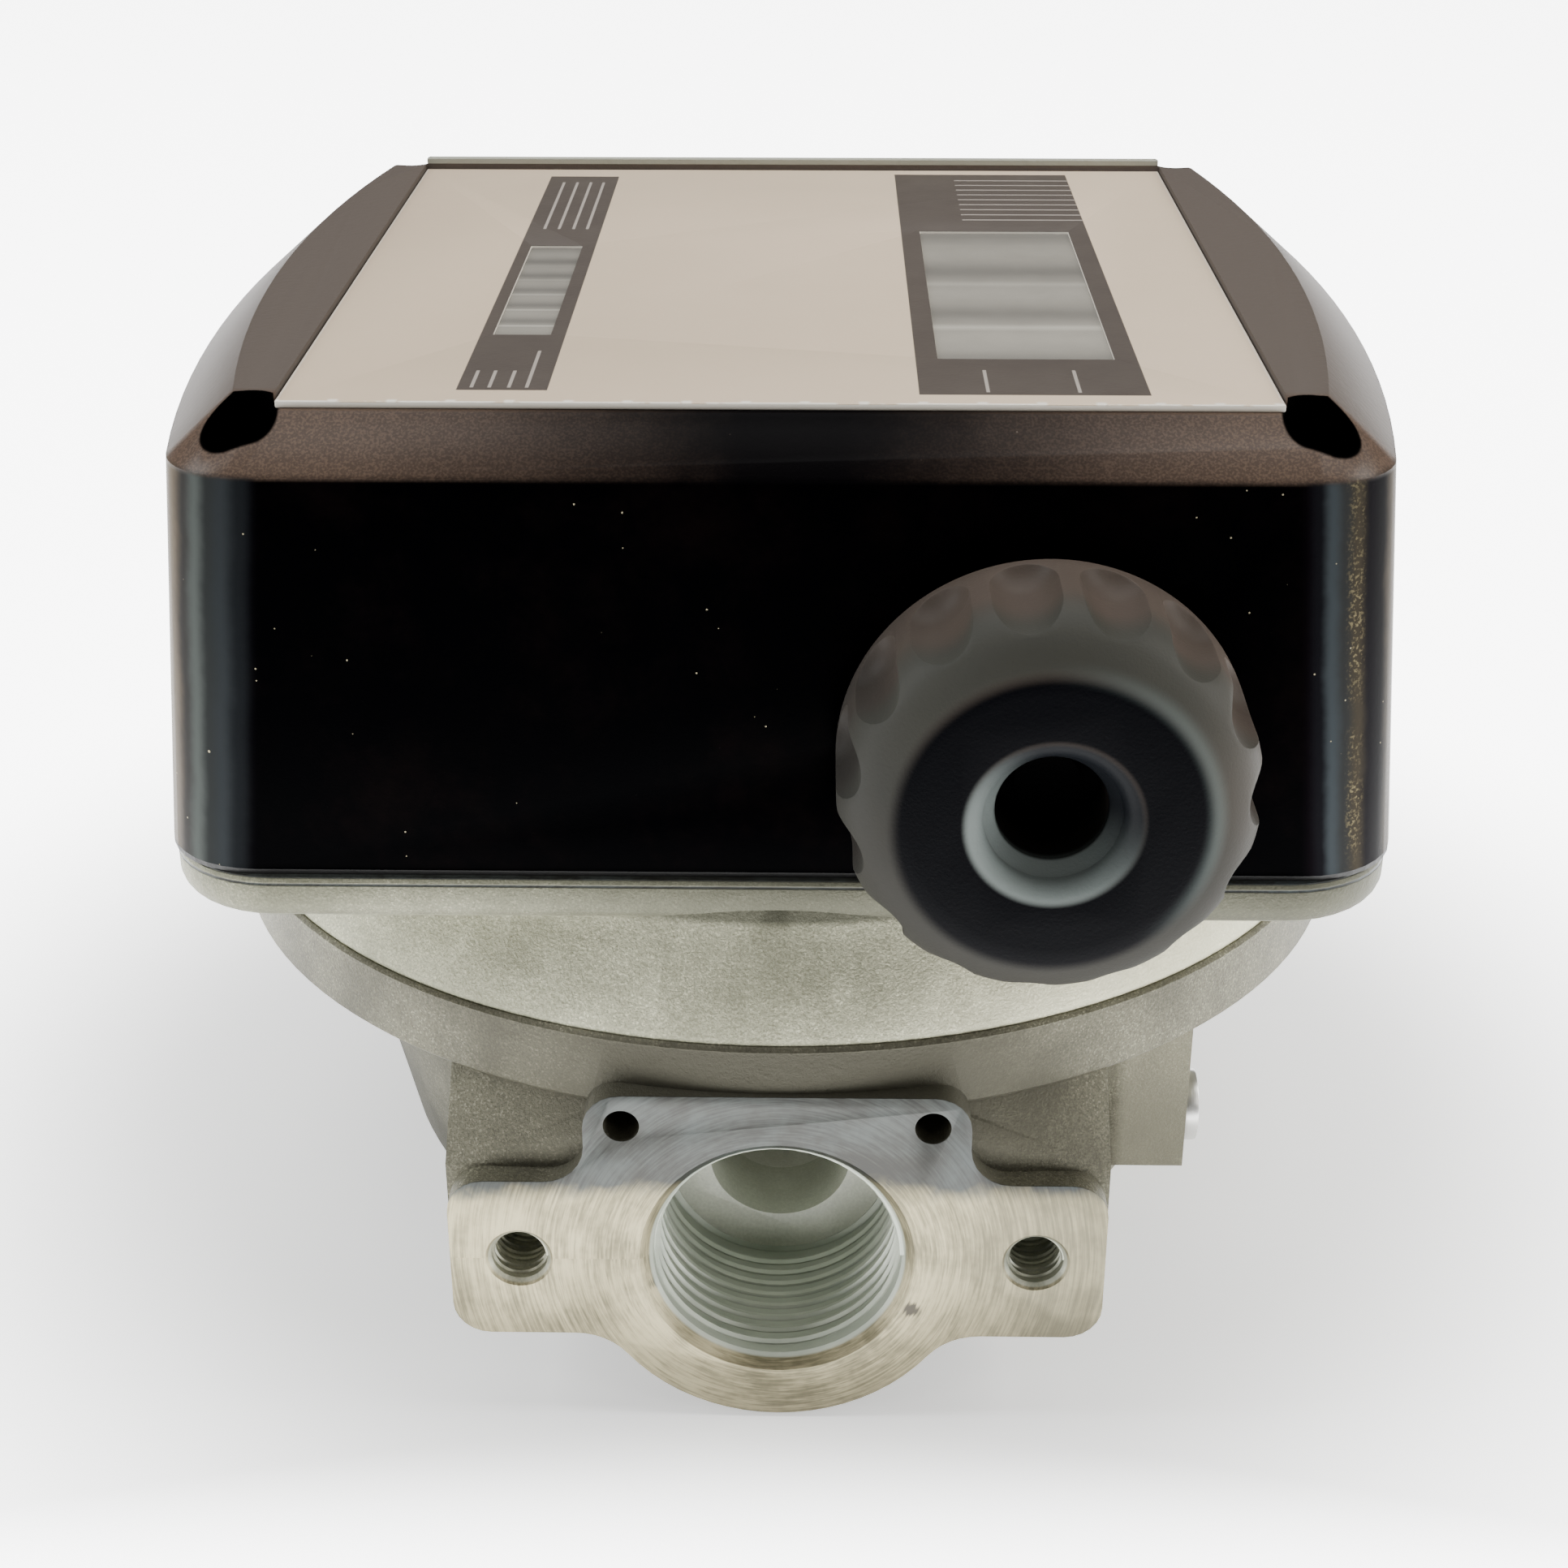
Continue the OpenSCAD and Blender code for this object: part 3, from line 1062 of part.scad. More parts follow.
module total_drum(i) {
    mid = total_units_y + i * total_pitch;
    difference() {
        union() {
            rod_y(total_at, mid - small_rim_w / 2, mid + small_rim_w / 2, total_drum_r);
            if (i < 5) along_y(total_at, mid + small_rim_w / 2 - tiny)
                transfer_segment(small_ring_t, total_line + 180);
            if (i > 0) gear_y(total_at, mid - small_rim_w / 2 - small_ring_t, small_ring_t + tiny, ring_n,
                transfer_m, total_line + 180 / ring_n);
        }
        rod_y(total_at, mid - total_pitch, mid + total_pitch, i == 0 ? arbor_r : arbor_r + fit);
    }
}
module total_drum_1() color([0.12, 0.12, 0.12]) total_drum(0);
module total_drum_2() color([0.12, 0.12, 0.12]) total_drum(1);
module total_drum_3() color([0.12, 0.12, 0.12]) total_drum(2);
module total_drum_4() color([0.12, 0.12, 0.12]) total_drum(3);
module total_drum_5() color([0.12, 0.12, 0.12]) total_drum(4);
module total_drum_6() color([0.12, 0.12, 0.12]) total_drum(5);
module total_shaft() color([0.72, 0.73, 0.75])
    rod_y(total_at, front_frame_y - shaft_over, rear_frame_y + frame_t + shaft_over, arbor_r);
module total_drive_gear() color([0.90, 0.88, 0.80]) difference() {
    gear_y(total_at, fine_y, fine_gear_t, total_gear_n, fine_m, total_gear_turn);
    rod_y(total_at, fine_y - over, fine_y + fine_gear_t + over, arbor_r);
}
module total_pinion(i)
    along_y(total_pinion_at, total_units_y + (i - 0.5) * total_pitch - small_transfer_t / 2)
    difference() {
        union() {
            linear_extrude(small_transfer_t / 2) short_teeth(total_line + 180);
            translate([0, 0, small_transfer_t / 2 - tiny]) linear_extrude(small_transfer_t / 2 + tiny)
                pinion_outline(total_line + 180);
        }
        translate([0, 0, -over]) cylinder(h = small_transfer_t + 2 * over, r = total_pin_r + fit);
    }
module total_pinion_1() color([0.85, 0.85, 0.80]) total_pinion(1);
module total_pinion_2() color([0.85, 0.85, 0.80]) total_pinion(2);
module total_pinion_3() color([0.85, 0.85, 0.80]) total_pinion(3);
module total_pinion_4() color([0.85, 0.85, 0.80]) total_pinion(4);
module total_pinion_5() color([0.85, 0.85, 0.80]) total_pinion(5);
module total_pinion_shaft() color([0.72, 0.73, 0.75])
    rod_y(total_pinion_at, front_frame_y, rear_frame_y + frame_t, total_pin_r);

// Calibration: a needle screw throttles the bypass, behind a sealing cap
cal_tip_gap = 0.35;
cal_waist_in = 0.9;
cal_slot_w = 0.8;
cal_slot_depth = 1.2;
cal_seal_wire_r = 0.4;
module calibration_needle() color([0.78, 0.62, 0.30]) difference() {
    union() {
        along_x(cal_seat_x - cal_tip_in)
            cylinder(h = cal_tip_l, r1 = cal_duct_r / 2, r2 = cal_duct_r - cal_tip_gap);
        along_x(cal_seat_x + cal_tip_l - cal_tip_in - tiny)
            cylinder(h = cal_needle_l - cal_tip_l + cal_tip_in + tiny, r = cal_bore_r - cal_waist_in);
        along_x(cal_seat_x + cal_needle_l - tiny) cylinder(h = cal_tip_l, r = cal_bore_r - fit);
    }
    along_x(cal_seat_x + cal_needle_l + cal_tip_l - cal_slot_depth)
        translate([-cal_bore_r, -cal_slot_w / 2, 0]) cube([2 * cal_bore_r, cal_slot_w, 2 * cal_slot_depth]);
}
module calibration_seal() color([0.08, 0.08, 0.08])
    along_x(cal_seat_x + cal_needle_l - over) ring_seal(cal_bore_r - cal_seal_wire_r - fit, cal_seal_wire_r);
module calibration_cap() color([0.74, 0.75, 0.77]) difference() {
    union() {
        along_x(cal_face_x) cylinder(h = cal_cap_out, r = cal_cap_r);
        along_x(cal_face_x - cal_cap_thread_l)
            cylinder(h = cal_cap_thread_l + tiny, r = cal_cap_thread_r - tiny);
    }
    along_x(cal_face_x + cal_hex_floor) cylinder(h = cal_cap_out, r = cal_hex_r, $fn = 6);
}

lower_body();
upper_body();
register_cover();
face_plate();
batch_window();
total_window();
cover_gasket();
cover_screws();
body_screws();
o_rings();
chamber_lower();
chamber_upper();
partition_plate();
outlet_nozzle();
inlet_strainer();
nutating_disc();
disc_pin();
drive_crank();
drive_shaft();
shaft_bush();
shaft_seal();
drive_pinion();
first_gear();
gear_arbors();
second_gear();
crown_gear();
lay_shaft();
batch_idler();
total_idler();
front_frame();
rear_frame();
frame_pillars();
frame_screws();
reset_shaft();
reset_knob();
knob_screw();
batch_drive_gear();
units_drum();
tens_drum();
hundreds_drum();
transfer_plates();
batch_pinion_1();
batch_pinion_2();
total_shaft();
total_drive_gear();
total_drum_1();
total_drum_2();
total_drum_3();
total_drum_4();
total_drum_5();
total_drum_6();
total_pinion_1();
total_pinion_2();
total_pinion_3();
total_pinion_4();
total_pinion_5();
total_pinion_shaft();
calibration_needle();
calibration_seal();
calibration_cap();
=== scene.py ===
"""Looks for the mechanical diesel flow meter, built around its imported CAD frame. Metres throughout."""
import json
import math

import bmesh
import bpy
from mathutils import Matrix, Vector


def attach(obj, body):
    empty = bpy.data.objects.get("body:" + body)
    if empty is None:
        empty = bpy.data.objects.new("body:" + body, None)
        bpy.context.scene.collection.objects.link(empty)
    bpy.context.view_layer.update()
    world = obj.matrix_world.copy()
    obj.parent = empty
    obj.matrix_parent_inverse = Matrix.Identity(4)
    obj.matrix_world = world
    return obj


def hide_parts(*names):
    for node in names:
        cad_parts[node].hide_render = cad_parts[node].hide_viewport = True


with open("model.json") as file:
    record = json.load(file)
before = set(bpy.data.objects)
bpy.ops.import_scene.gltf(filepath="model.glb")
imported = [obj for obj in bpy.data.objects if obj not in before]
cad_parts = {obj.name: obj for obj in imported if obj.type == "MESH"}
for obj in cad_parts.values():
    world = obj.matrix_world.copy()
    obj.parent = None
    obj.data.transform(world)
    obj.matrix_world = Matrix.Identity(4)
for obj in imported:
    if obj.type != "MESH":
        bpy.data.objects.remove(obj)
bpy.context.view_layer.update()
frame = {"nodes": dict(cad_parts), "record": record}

MM = 0.001
nodes = frame["nodes"]
record = frame["record"]
slot_of = {row["node"]: row["material_slot"] for row in record["subparts"]}
body_of = {node: body for body, members in record["behaviour"]["bodies"].items() for node in members}

# Axes that the finishes follow. Z is up; the front port and the knob look along -Y.
mounts = {mount["name"]: mount for mount in record["mounts"]}
joints = {joint["name"]: joint for joint in record["behaviour"]["joints"]}
port_z = mounts["front_port"]["pos_m"][2]
bolt_x = mounts["front_flange_bolts"]["dims"]["spacing_x_mm"] * MM / 2
knob_x, _, knob_z = joints["reset_turn"]["pos_m"]

# The camera stands where the photograph's stood: over the front port, looking down at the register.
camera_data = bpy.data.cameras.new("camera")
camera_data.sensor_width = 36.0
camera_data.lens = 57.03
camera_data.clip_start = 0.01
camera = bpy.data.objects.new("camera", camera_data)
camera.location = (0.0045, -0.32226, 0.20822)
camera.rotation_euler = (math.radians(63.9), 0.0, 0.015)
bpy.context.scene.collection.objects.link(camera)
bpy.context.scene.camera = camera


class Value:
    """A shader value; using it in an expression adds the Math nodes."""

    def __init__(self, finish, socket):
        self.finish, self.socket = finish, socket

    def math(self, operation, *others):
        return self.finish.math(operation, self, *others)

    def __add__(self, other):
        return self.math("ADD", other)

    def __sub__(self, other):
        return self.math("SUBTRACT", other)

    def __rsub__(self, other):
        return self.finish.math("SUBTRACT", other, self)

    def __mul__(self, other):
        return self.math("MULTIPLY", other)

    def __truediv__(self, other):
        return self.math("DIVIDE", other)

    def __pow__(self, other):
        return self.math("POWER", other)

    def __neg__(self):
        return self.math("MULTIPLY", -1.0)

    def __abs__(self):
        return self.math("ABSOLUTE")

    __radd__ = __add__
    __rmul__ = __mul__


def rgba(colour):
    return colour if isinstance(colour, Value) else (*colour, 1.0)


def tone(r, g, b):
    """A colour seen on screen (0 to 255), as the light value that a shader needs."""
    return tuple(((c / 255 + 0.055) / 1.055) ** 2.4 if c > 10 else c / 255 / 12.92 for c in (r, g, b))


def blend(low, high, share):
    return share * (high - low) + low


class Finish:
    """One material, built from expressions on the piece's own coordinates."""

    def __init__(self, name, **constants):
        self.material = bpy.data.materials.new(name)
        self.material.use_nodes = True
        self.tree = self.material.node_tree
        self.shader = next(n for n in self.tree.nodes if n.type == "BSDF_PRINCIPLED")
        for socket, value in constants.items():
            self.shader.inputs[socket.replace("_", " ")].default_value = value
        self.place = self.node("ShaderNodeTexCoord", out="Object")
        split = self.node("ShaderNodeSeparateXYZ", inputs={0: self.place}, out=None)
        self.x, self.y, self.z = (Value(self, s) for s in split.outputs)

    def node(self, kind, settings=None, inputs=None, out=0):
        made = self.tree.nodes.new(kind)
        for key, value in (settings or {}).items():
            setattr(made, key, value)
        for key, value in (inputs or {}).items():
            self.link(value, made.inputs[key])
        return made if out is None else Value(self, made.outputs[out])

    def link(self, value, socket):
        if isinstance(value, Value):
            self.tree.links.new(value.socket, socket)
        elif value is not None:
            socket.default_value = value

    def math(self, operation, *values):
        return self.node("ShaderNodeMath", {"operation": operation}, dict(enumerate(values)))

    def most(self, mask, *others):
        """The greatest of several masks."""
        for other in others:
            mask = self.math("MAXIMUM", mask, other)
        return mask

    def radius(self, across, up):
        return self.math("SQRT", across * across + up * up)

    def mix(self, low, high, share):
        return self.node("ShaderNodeMix", {"data_type": "RGBA"}, {0: share, 6: rgba(low), 7: rgba(high)}, out=2)

    def noise(self, size, detail=2.0, rough=0.5, place=None):
        """Noise whose features are about size metres across."""
        return self.node("ShaderNodeTexNoise", None, {"Vector": place or self.place, "Scale": 1.0 / size,
                                                      "Detail": detail, "Roughness": rough})

    def cells(self, size, out="Distance"):
        return self.node("ShaderNodeTexVoronoi", None, {"Vector": self.place, "Scale": 1.0 / size}, out=out)

    def cell_number(self, size):
        """A random number from 0 to 1 for each cell."""
        return self.node("ShaderNodeSeparateColor", None, {0: self.cells(size, out="Color")})

    def specks(self, size, chosen, edge):
        """Dots in the middle of a few cells: chosen picks them by number, edge is where a dot ends."""
        return self.step(self.cell_number(size), *chosen) * self.fade(self.cells(size), *edge)

    def stretched(self, sx, sy, sz):
        return self.node("ShaderNodeMapping", None, {"Vector": self.place, "Scale": (sx, sy, sz)})

    def step(self, value, low, high):
        """0 below low, 1 above high, smooth between."""
        return self.node("ShaderNodeMapRange", {"interpolation_type": "SMOOTHSTEP"},
                         {"Value": value, "From Min": low, "From Max": high})

    def fade(self, value, low, high):
        """1 below low, 0 above high, smooth between."""
        return 1.0 - self.step(value, low, high)

    def inside(self, value, low, high, soft=0.00006):
        return self.step(value, low - soft, low + soft) * self.fade(value, high - soft, high + soft)

    def panel(self, x0, x1, y0, y1, soft=0.00006):
        return self.inside(self.x, x0, x1, soft) * self.inside(self.y, y0, y1, soft)

    def ramp(self, value, stops):
        """Colours that follow one another along value; each stop is a place and a colour."""
        colour = stops[0][1]
        for (low, _), (high, tint) in zip(stops, stops[1:]):
            colour = self.mix(colour, tint, self.step(value, low, high))
        return colour

    def bump(self, height, depth):
        return self.node("ShaderNodeBump", None, {"Height": height, "Distance": depth, "Strength": 1.0})

    def feed(self, colour, roughness, normal=None, metallic=None, coat=None):
        """Links what varies over the surface to the shader, and gives the finished material."""
        for socket, value in (("Base Color", colour), ("Roughness", roughness), ("Normal", normal),
                              ("Metallic", metallic), ("Coat Weight", coat)):
            self.link(value, self.shader.inputs[socket])
        return self.material


def from_port(f):
    """How far a point is from the ports' axis."""
    return f.radius(f.x, f.z - port_z)


def from_bolt(f):
    """How far a point is from the nearest flange bolt's axis."""
    return f.radius(abs(f.x) - bolt_x, f.z - port_z)


def cast_skin(f, grain, light, dark, shine, shade):
    """The blasted skin: stains, scuffs and dark grain specks, sparkles as painted glints, painted shade on the tray's
    rim, a painted pool of light on the neck's right, painted shade across the middle of the front, and a painted
    highlight low on the right end.
    """
    black, scuffed = (0.0, 0.0, 0.0), tone(70, 68, 60)
    rim_shade_z, rim_shade_side = (0.0662, 0.0672), (-0.05, 0.01)
    lit_side, lit_foot, lit_top = (0.006, 0.046), (0.0500, 0.0515), (0.0640, 0.0655)
    band_low, band_high, band_soft, band_side = 0.0352, 0.0532, 0.0006, (0.012, 0.050)
    lit_right_end, lit_right_end_top = (0.0440, 0.0465), (0.036, 0.042)

    sparkle = f.cell_number(0.00021)
    stain = f.noise(0.016, 4.0, 0.62)
    skin = f.mix(dark, light, f.step(stain * 0.45 + grain * 0.55, 0.38, 0.64))
    # Painted glints: bright sparkles in the lighter patches.
    skin = f.mix(skin, shine, f.step(sparkle, 0.80, 1.0) * f.step(stain, 0.3, 0.7) * 0.42)
    skin = f.mix(skin, dark, f.fade(sparkle, 0.0, 0.2) * 0.4)
    skin = f.mix(skin, scuffed, f.step(f.noise(0.0045, 5.0, 0.75), 0.68, 0.78) * 0.5)
    # Painted shade: the tray's rim is darkened, nearly twice as much on its right half.
    shadow = f.step(f.z, *rim_shade_z) * (f.step(f.x, *rim_shade_side) * 0.9 + 1.0)
    skin = f.mix(skin, f.mix(dark, black, 0.72), shadow * shade)
    # Painted light: a pool of light on the right of the neck.
    lit = f.step(f.x, *lit_side) * f.step(f.z, *lit_foot) * f.fade(f.z, *lit_top)
    skin = f.mix(skin, shine, lit * shade)
    # Painted shade across the middle of the lower casting's front.
    front_shade = f.inside(f.z, band_low, band_high, band_soft) * f.fade(abs(f.x), *band_side)
    skin = f.mix(skin, f.mix(dark, black, 0.2), front_shade * (1.0 - shade))
    # Painted light low on the right end.
    return f.mix(skin, shine, f.step(f.x, *lit_right_end) * f.fade(f.z, *lit_right_end_top) * ((1.0 - shade) * 0.35))


def turned_face(f):
    """Turned metal round the ports: its colour, with painted shade towards the right, a painted dark reflection on the
    upper face and painted shade in the thread roots; its tool marks; and how much metal shine it loses.
    """
    warm_low, warm_high, shaded_right_tone = tone(96, 91, 70), tone(156, 148, 118), tone(78, 75, 60)
    reflection_low, reflection_high = tone(3, 7, 13), tone(28, 42, 50)
    bore_low, bore_high, thread_root_shade = tone(160, 168, 154), tone(204, 210, 198), tone(84, 88, 78)
    nick_tone, nicks = tone(58, 54, 44), ((0.0164, 0.0168), (-0.0145, 0.0200))
    shaded_right_side, reflection_tab = (0.014, 0.036), (0.0325, 0.0352)
    bore_edge, bolt_edge, thread_root_edge = (0.0154, 0.0157), (0.0037, 0.0039), (0.01485, 0.01512)
    nick_edge = 0.0006, 0.0013

    away = from_port(f)
    turn = f.math("ARCTAN2", f.z - port_z, f.x)
    marks = f.noise(0.00032, 3.0, 0.65, f.node("ShaderNodeCombineXYZ", None, {0: away, 1: turn * 0.0012, 2: f.y}))
    patch = f.noise(0.009, 4.0, 0.65)
    metal = f.mix(warm_low, warm_high, f.step(marks * 0.5 + patch * 0.5, 0.36, 0.64))
    # Painted shade: the turned face darker towards the right.
    metal = f.mix(metal, shaded_right_tone, f.step(f.x, *shaded_right_side) * 0.5)
    # Painted reflection: the upper part of the turned face near-black and bluish, as a dark room reflected in it.
    dark_reflection = f.step(f.z + (patch - 0.5) * 0.007, *reflection_tab)
    metal = f.mix(metal, f.mix(reflection_low, reflection_high, f.step(marks * 0.35 + patch * 0.65, 0.36, 0.66)), dark_reflection * 0.9)
    for x, z in nicks:
        spot = f.radius(f.x - x, f.z - z) + (marks - 0.5) * 0.0016
        metal = f.mix(metal, nick_tone, f.fade(spot, *nick_edge))
    bores = f.most(f.fade(away, *bore_edge), f.fade(from_bolt(f), *bolt_edge) * 0.4)
    metal = f.mix(metal, f.mix(bore_low, bore_high, patch), bores * 0.9)
    # Painted shade: darker in the thread roots and in the bolt bores.
    metal = f.mix(metal, thread_root_shade, bores * f.step(away, *thread_root_edge) * 0.3)
    return metal, marks, bores * 0.35 + dark_reflection * 0.15


def cast_metal(name, light, dark, shine, machined, shade):
    """Cast aluminium, bright and turned where machined is 1; shade is the share of the painted shade on the tray's rim
    and of the painted light on the neck, and 1 - shade that of the painted shade and highlight on the lower front.
    """
    f = Finish(name)
    grain = f.noise(0.00034, 3.0, 0.75)
    skin = cast_skin(f, grain, light, dark, shine, shade)
    metal, marks, dull = turned_face(f)
    mask = machined(f)
    rough = blend(blend(0.46, 0.66, grain), blend(0.3, 0.46, marks), mask)
    height = grain * 0.6 + f.noise(0.0010, 2.0) * 0.4
    normal = f.bump(height * (1.0 - mask) + marks * mask * 0.10, 0.00020)
    return f.feed(f.mix(skin, metal, mask), rough, normal, metallic=blend(0.6, 0.55, mask) - dull * mask)


def machined_port(f):
    """The port faces, the pipe and bolt bores and the flat base of the lower casting."""
    port_face, base_face = (0.07738, 0.07746), (0.0001, 0.0002)
    bore_edge, bore_end = (0.0168, 0.0170), (0.049, 0.0495)
    bolt_edge, bolt_end = (0.0041, 0.0043), (0.0612, 0.0616)
    bore = f.fade(from_port(f), *bore_edge) * f.step(abs(f.y), *bore_end)
    bolts = f.fade(from_bolt(f), *bolt_edge) * f.step(abs(f.y), *bolt_end)
    return f.most(f.step(abs(f.y), *port_face), bore, bolts, f.fade(f.z, *base_face))


def machined_rim(f):
    """Two bright lines round the tray's upper edge: a thin painted highlight just under it and the milled top face,
    both given the turned finish.
    """
    line_low, line_high, line_soft, milled_top = 0.07105, 0.07135, 0.00008, (0.0718, 0.07195)
    return f.most(f.inside(f.z, line_low, line_high, line_soft), f.step(f.z, *milled_top))


def corner_reflections(f, across, smear):
    """Painted reflections as upright bands of dark and pale tones at the cover's front corners, with a golden sparkle
    on the right.
    """
    drift, sparkle_tone = (smear - 0.5) * 0.0016, tone(128, 118, 88)
    sparkle_low, sparkle_high, sparkle_soft = 0.0618, 0.0634, 0.0006
    left = f.ramp(across + drift, (
        (0.0560, tone(3, 2, 4)), (0.0585, tone(20, 22, 24)), (0.0605, tone(37, 40, 42)), (0.0622, tone(35, 37, 37)),
        (0.0638, tone(63, 67, 65)), (0.0653, tone(41, 40, 39)), (0.0672, tone(82, 73, 61))))
    right = f.ramp(across + drift, (
        (0.0568, tone(8, 5, 8)), (0.0585, tone(15, 15, 18)), (0.0598, tone(48, 53, 56)), (0.0613, tone(38, 39, 39)),
        (0.0628, tone(49, 45, 38)), (0.0643, tone(21, 20, 22)), (0.0660, tone(22, 22, 23)),
        (0.0677, tone(63, 57, 49))))
    reflection_sparkle = f.step(f.noise(0.0004, 2.0, 0.6), 0.50, 0.66) * f.inside(across, sparkle_low, sparkle_high, sparkle_soft)
    # A golden painted sparkle in the right corner's reflection.
    right = f.mix(right, sparkle_tone, reflection_sparkle * f.step(smear, 0.35, 0.6) * 0.6)
    return f.mix(left, right, f.step(f.x, -0.001, 0.001))


def screw_wells(f):
    """The four oval screw wells, each turned a little towards its corner."""
    well_x, well_y, well_turn, half_length = 0.0593, 0.0608, math.radians(14), 0.00125
    well_edge = 0.00300, 0.00335
    dx, dy = abs(f.x) - well_x, abs(f.y) - well_y
    along = f.most(abs(dx * math.cos(well_turn) + dy * math.sin(well_turn)) - half_length, 0.0)
    aside = dy * math.cos(well_turn) - dx * math.sin(well_turn)
    return f.fade(f.radius(along, aside), *well_edge)


def black_coat():
    """Black coating: a deep gloss on the walls, a less glossy bevel and top with painted reflections on them, painted
    reflections as bands at the front corners and on the rear strip, and wells painted black as shade.
    """
    bevel_foot_z, draft, bevel_foot, front_bevel = 0.1196, 0.087, (0.1190, 0.1200), (-0.0590, -0.0560)
    corner_y, corner_x, middle_x, sheen_x = (0.0540, 0.0575), (0.0560, 0.0580), 0.002, (0.004, 0.060)
    strip_z, strip_y = (0.12662, 0.12672), (0.055, 0.056)
    gloss, gloss_smeared, well_shade = (0.0002, 0.0002, 0.0004), (0.0016, 0.0009, 0.0010), (0.0001, 0.0001, 0.0001)
    side_and_top_reflection, reflection_grain = tone(80, 73, 68), tone(150, 124, 104)
    reflection_middle, reflection_end = tone(3, 2, 3), tone(66, 54, 46)
    dust_wall, dust_top, strip_reflection = tone(190, 180, 150), tone(120, 108, 98), tone(150, 150, 138)

    f = Finish("black_coat", Specular_IOR_Level=0.004, Coat_Roughness=0.3, Coat_IOR=1.5)
    peel, fine, smear = f.noise(0.0009, 2.0, 0.45), f.noise(0.0003, 2.0, 0.5), f.noise(0.012, 4.0, 0.7)
    wall, front = f.fade(f.z, *bevel_foot), f.fade(f.y, *front_bevel)
    dust = f.most(f.specks(0.0036, (0.935, 0.945), (0.035, 0.065)),
                  f.specks(0.0013, (0.93, 0.94), (0.06, 0.10)) * 0.7)
    scratch = f.step(f.noise(0.0009, 1.0, 0.4, f.stretched(1.0, 1.0, 0.10)), 0.80, 0.83) * f.step(smear, 0.58, 0.66)

    # Painted reflections on the bevel and top: grey-brown on the sides and top; near-black in the front bevel's middle
    # and lighter towards its ends, with a grainy mottle in the lighter parts.
    spread = f.step(abs(f.x - middle_x) + (smear - 0.5) * 0.016, *sheen_x)
    bevel_reflection = f.mix(side_and_top_reflection, f.mix(reflection_middle, reflection_end, spread), front)
    bevel_reflection = f.mix(bevel_reflection, f.mix(bevel_reflection, reflection_grain, 0.4), f.step(fine, 0.40, 0.66) * front * spread * 0.35)
    colour = f.mix(bevel_reflection, f.mix(gloss, gloss_smeared, f.step(smear, 0.42, 0.8)), wall)
    across = abs(f.x) - (bevel_foot_z - f.z) * draft
    corner = f.step(abs(f.y), *corner_y) * f.step(across, *corner_x)
    # Painted reflections as upright bands at the front corners of the walls.
    colour = f.mix(colour, corner_reflections(f, across, smear), corner * wall)
    colour = f.mix(colour, dust_wall, f.math("MINIMUM", 1.0, dust + scratch * 0.3) * wall * 0.8)
    colour = f.mix(colour, dust_top, dust * (1.0 - wall) * 0.5)
    # Painted reflection: a pale strip along the raised rear edge of the top.
    colour = f.mix(colour, strip_reflection, f.step(f.z, *strip_z) * f.step(f.y, *strip_y))
    # Painted shade: the screw wells are black inside.
    wells = screw_wells(f)
    colour = f.mix(colour, well_shade, wells)

    rough = blend(0.46, 0.2, wall) + smear * 0.10 + dust * 0.4
    height = peel * blend(1.0, 0.10, wall) + fine * blend(0.35, 0.10, wall)
    sheen = (1.0 - wall) * blend(0.2, blend(0.05, 0.3, spread), front)
    return f.feed(colour, rough, f.bump(height, 0.00010), coat=sheen * (1.0 - wells))


def printed_lines(f):
    """The thin printed lines on the two dark bands, each a long narrow panel."""
    half, tall_half, soft = 0.0002, 0.00024, 0.00004
    batch_row_x, batch_rows = (0.0243, 0.0412), [0.0262 + 0.0031 * i for i in range(9)]
    upright = [((-0.0550, -0.0465), (0.0232, 0.0334)), ((-0.0540, -0.0475), (-0.0345, -0.0325, -0.0303)),
               ((-0.0540, -0.0395), (-0.0283,)), ((0.0200, 0.0490), (-0.0338, -0.0318, -0.0298, -0.0279))]
    spots = [(*batch_row_x, y - tall_half, y + tall_half) for y in batch_rows]
    spots += [(x - half, x + half, *ends) for ends, places in upright for x in places]
    return f.most(*(f.panel(*spot, soft=soft) for spot in spots))


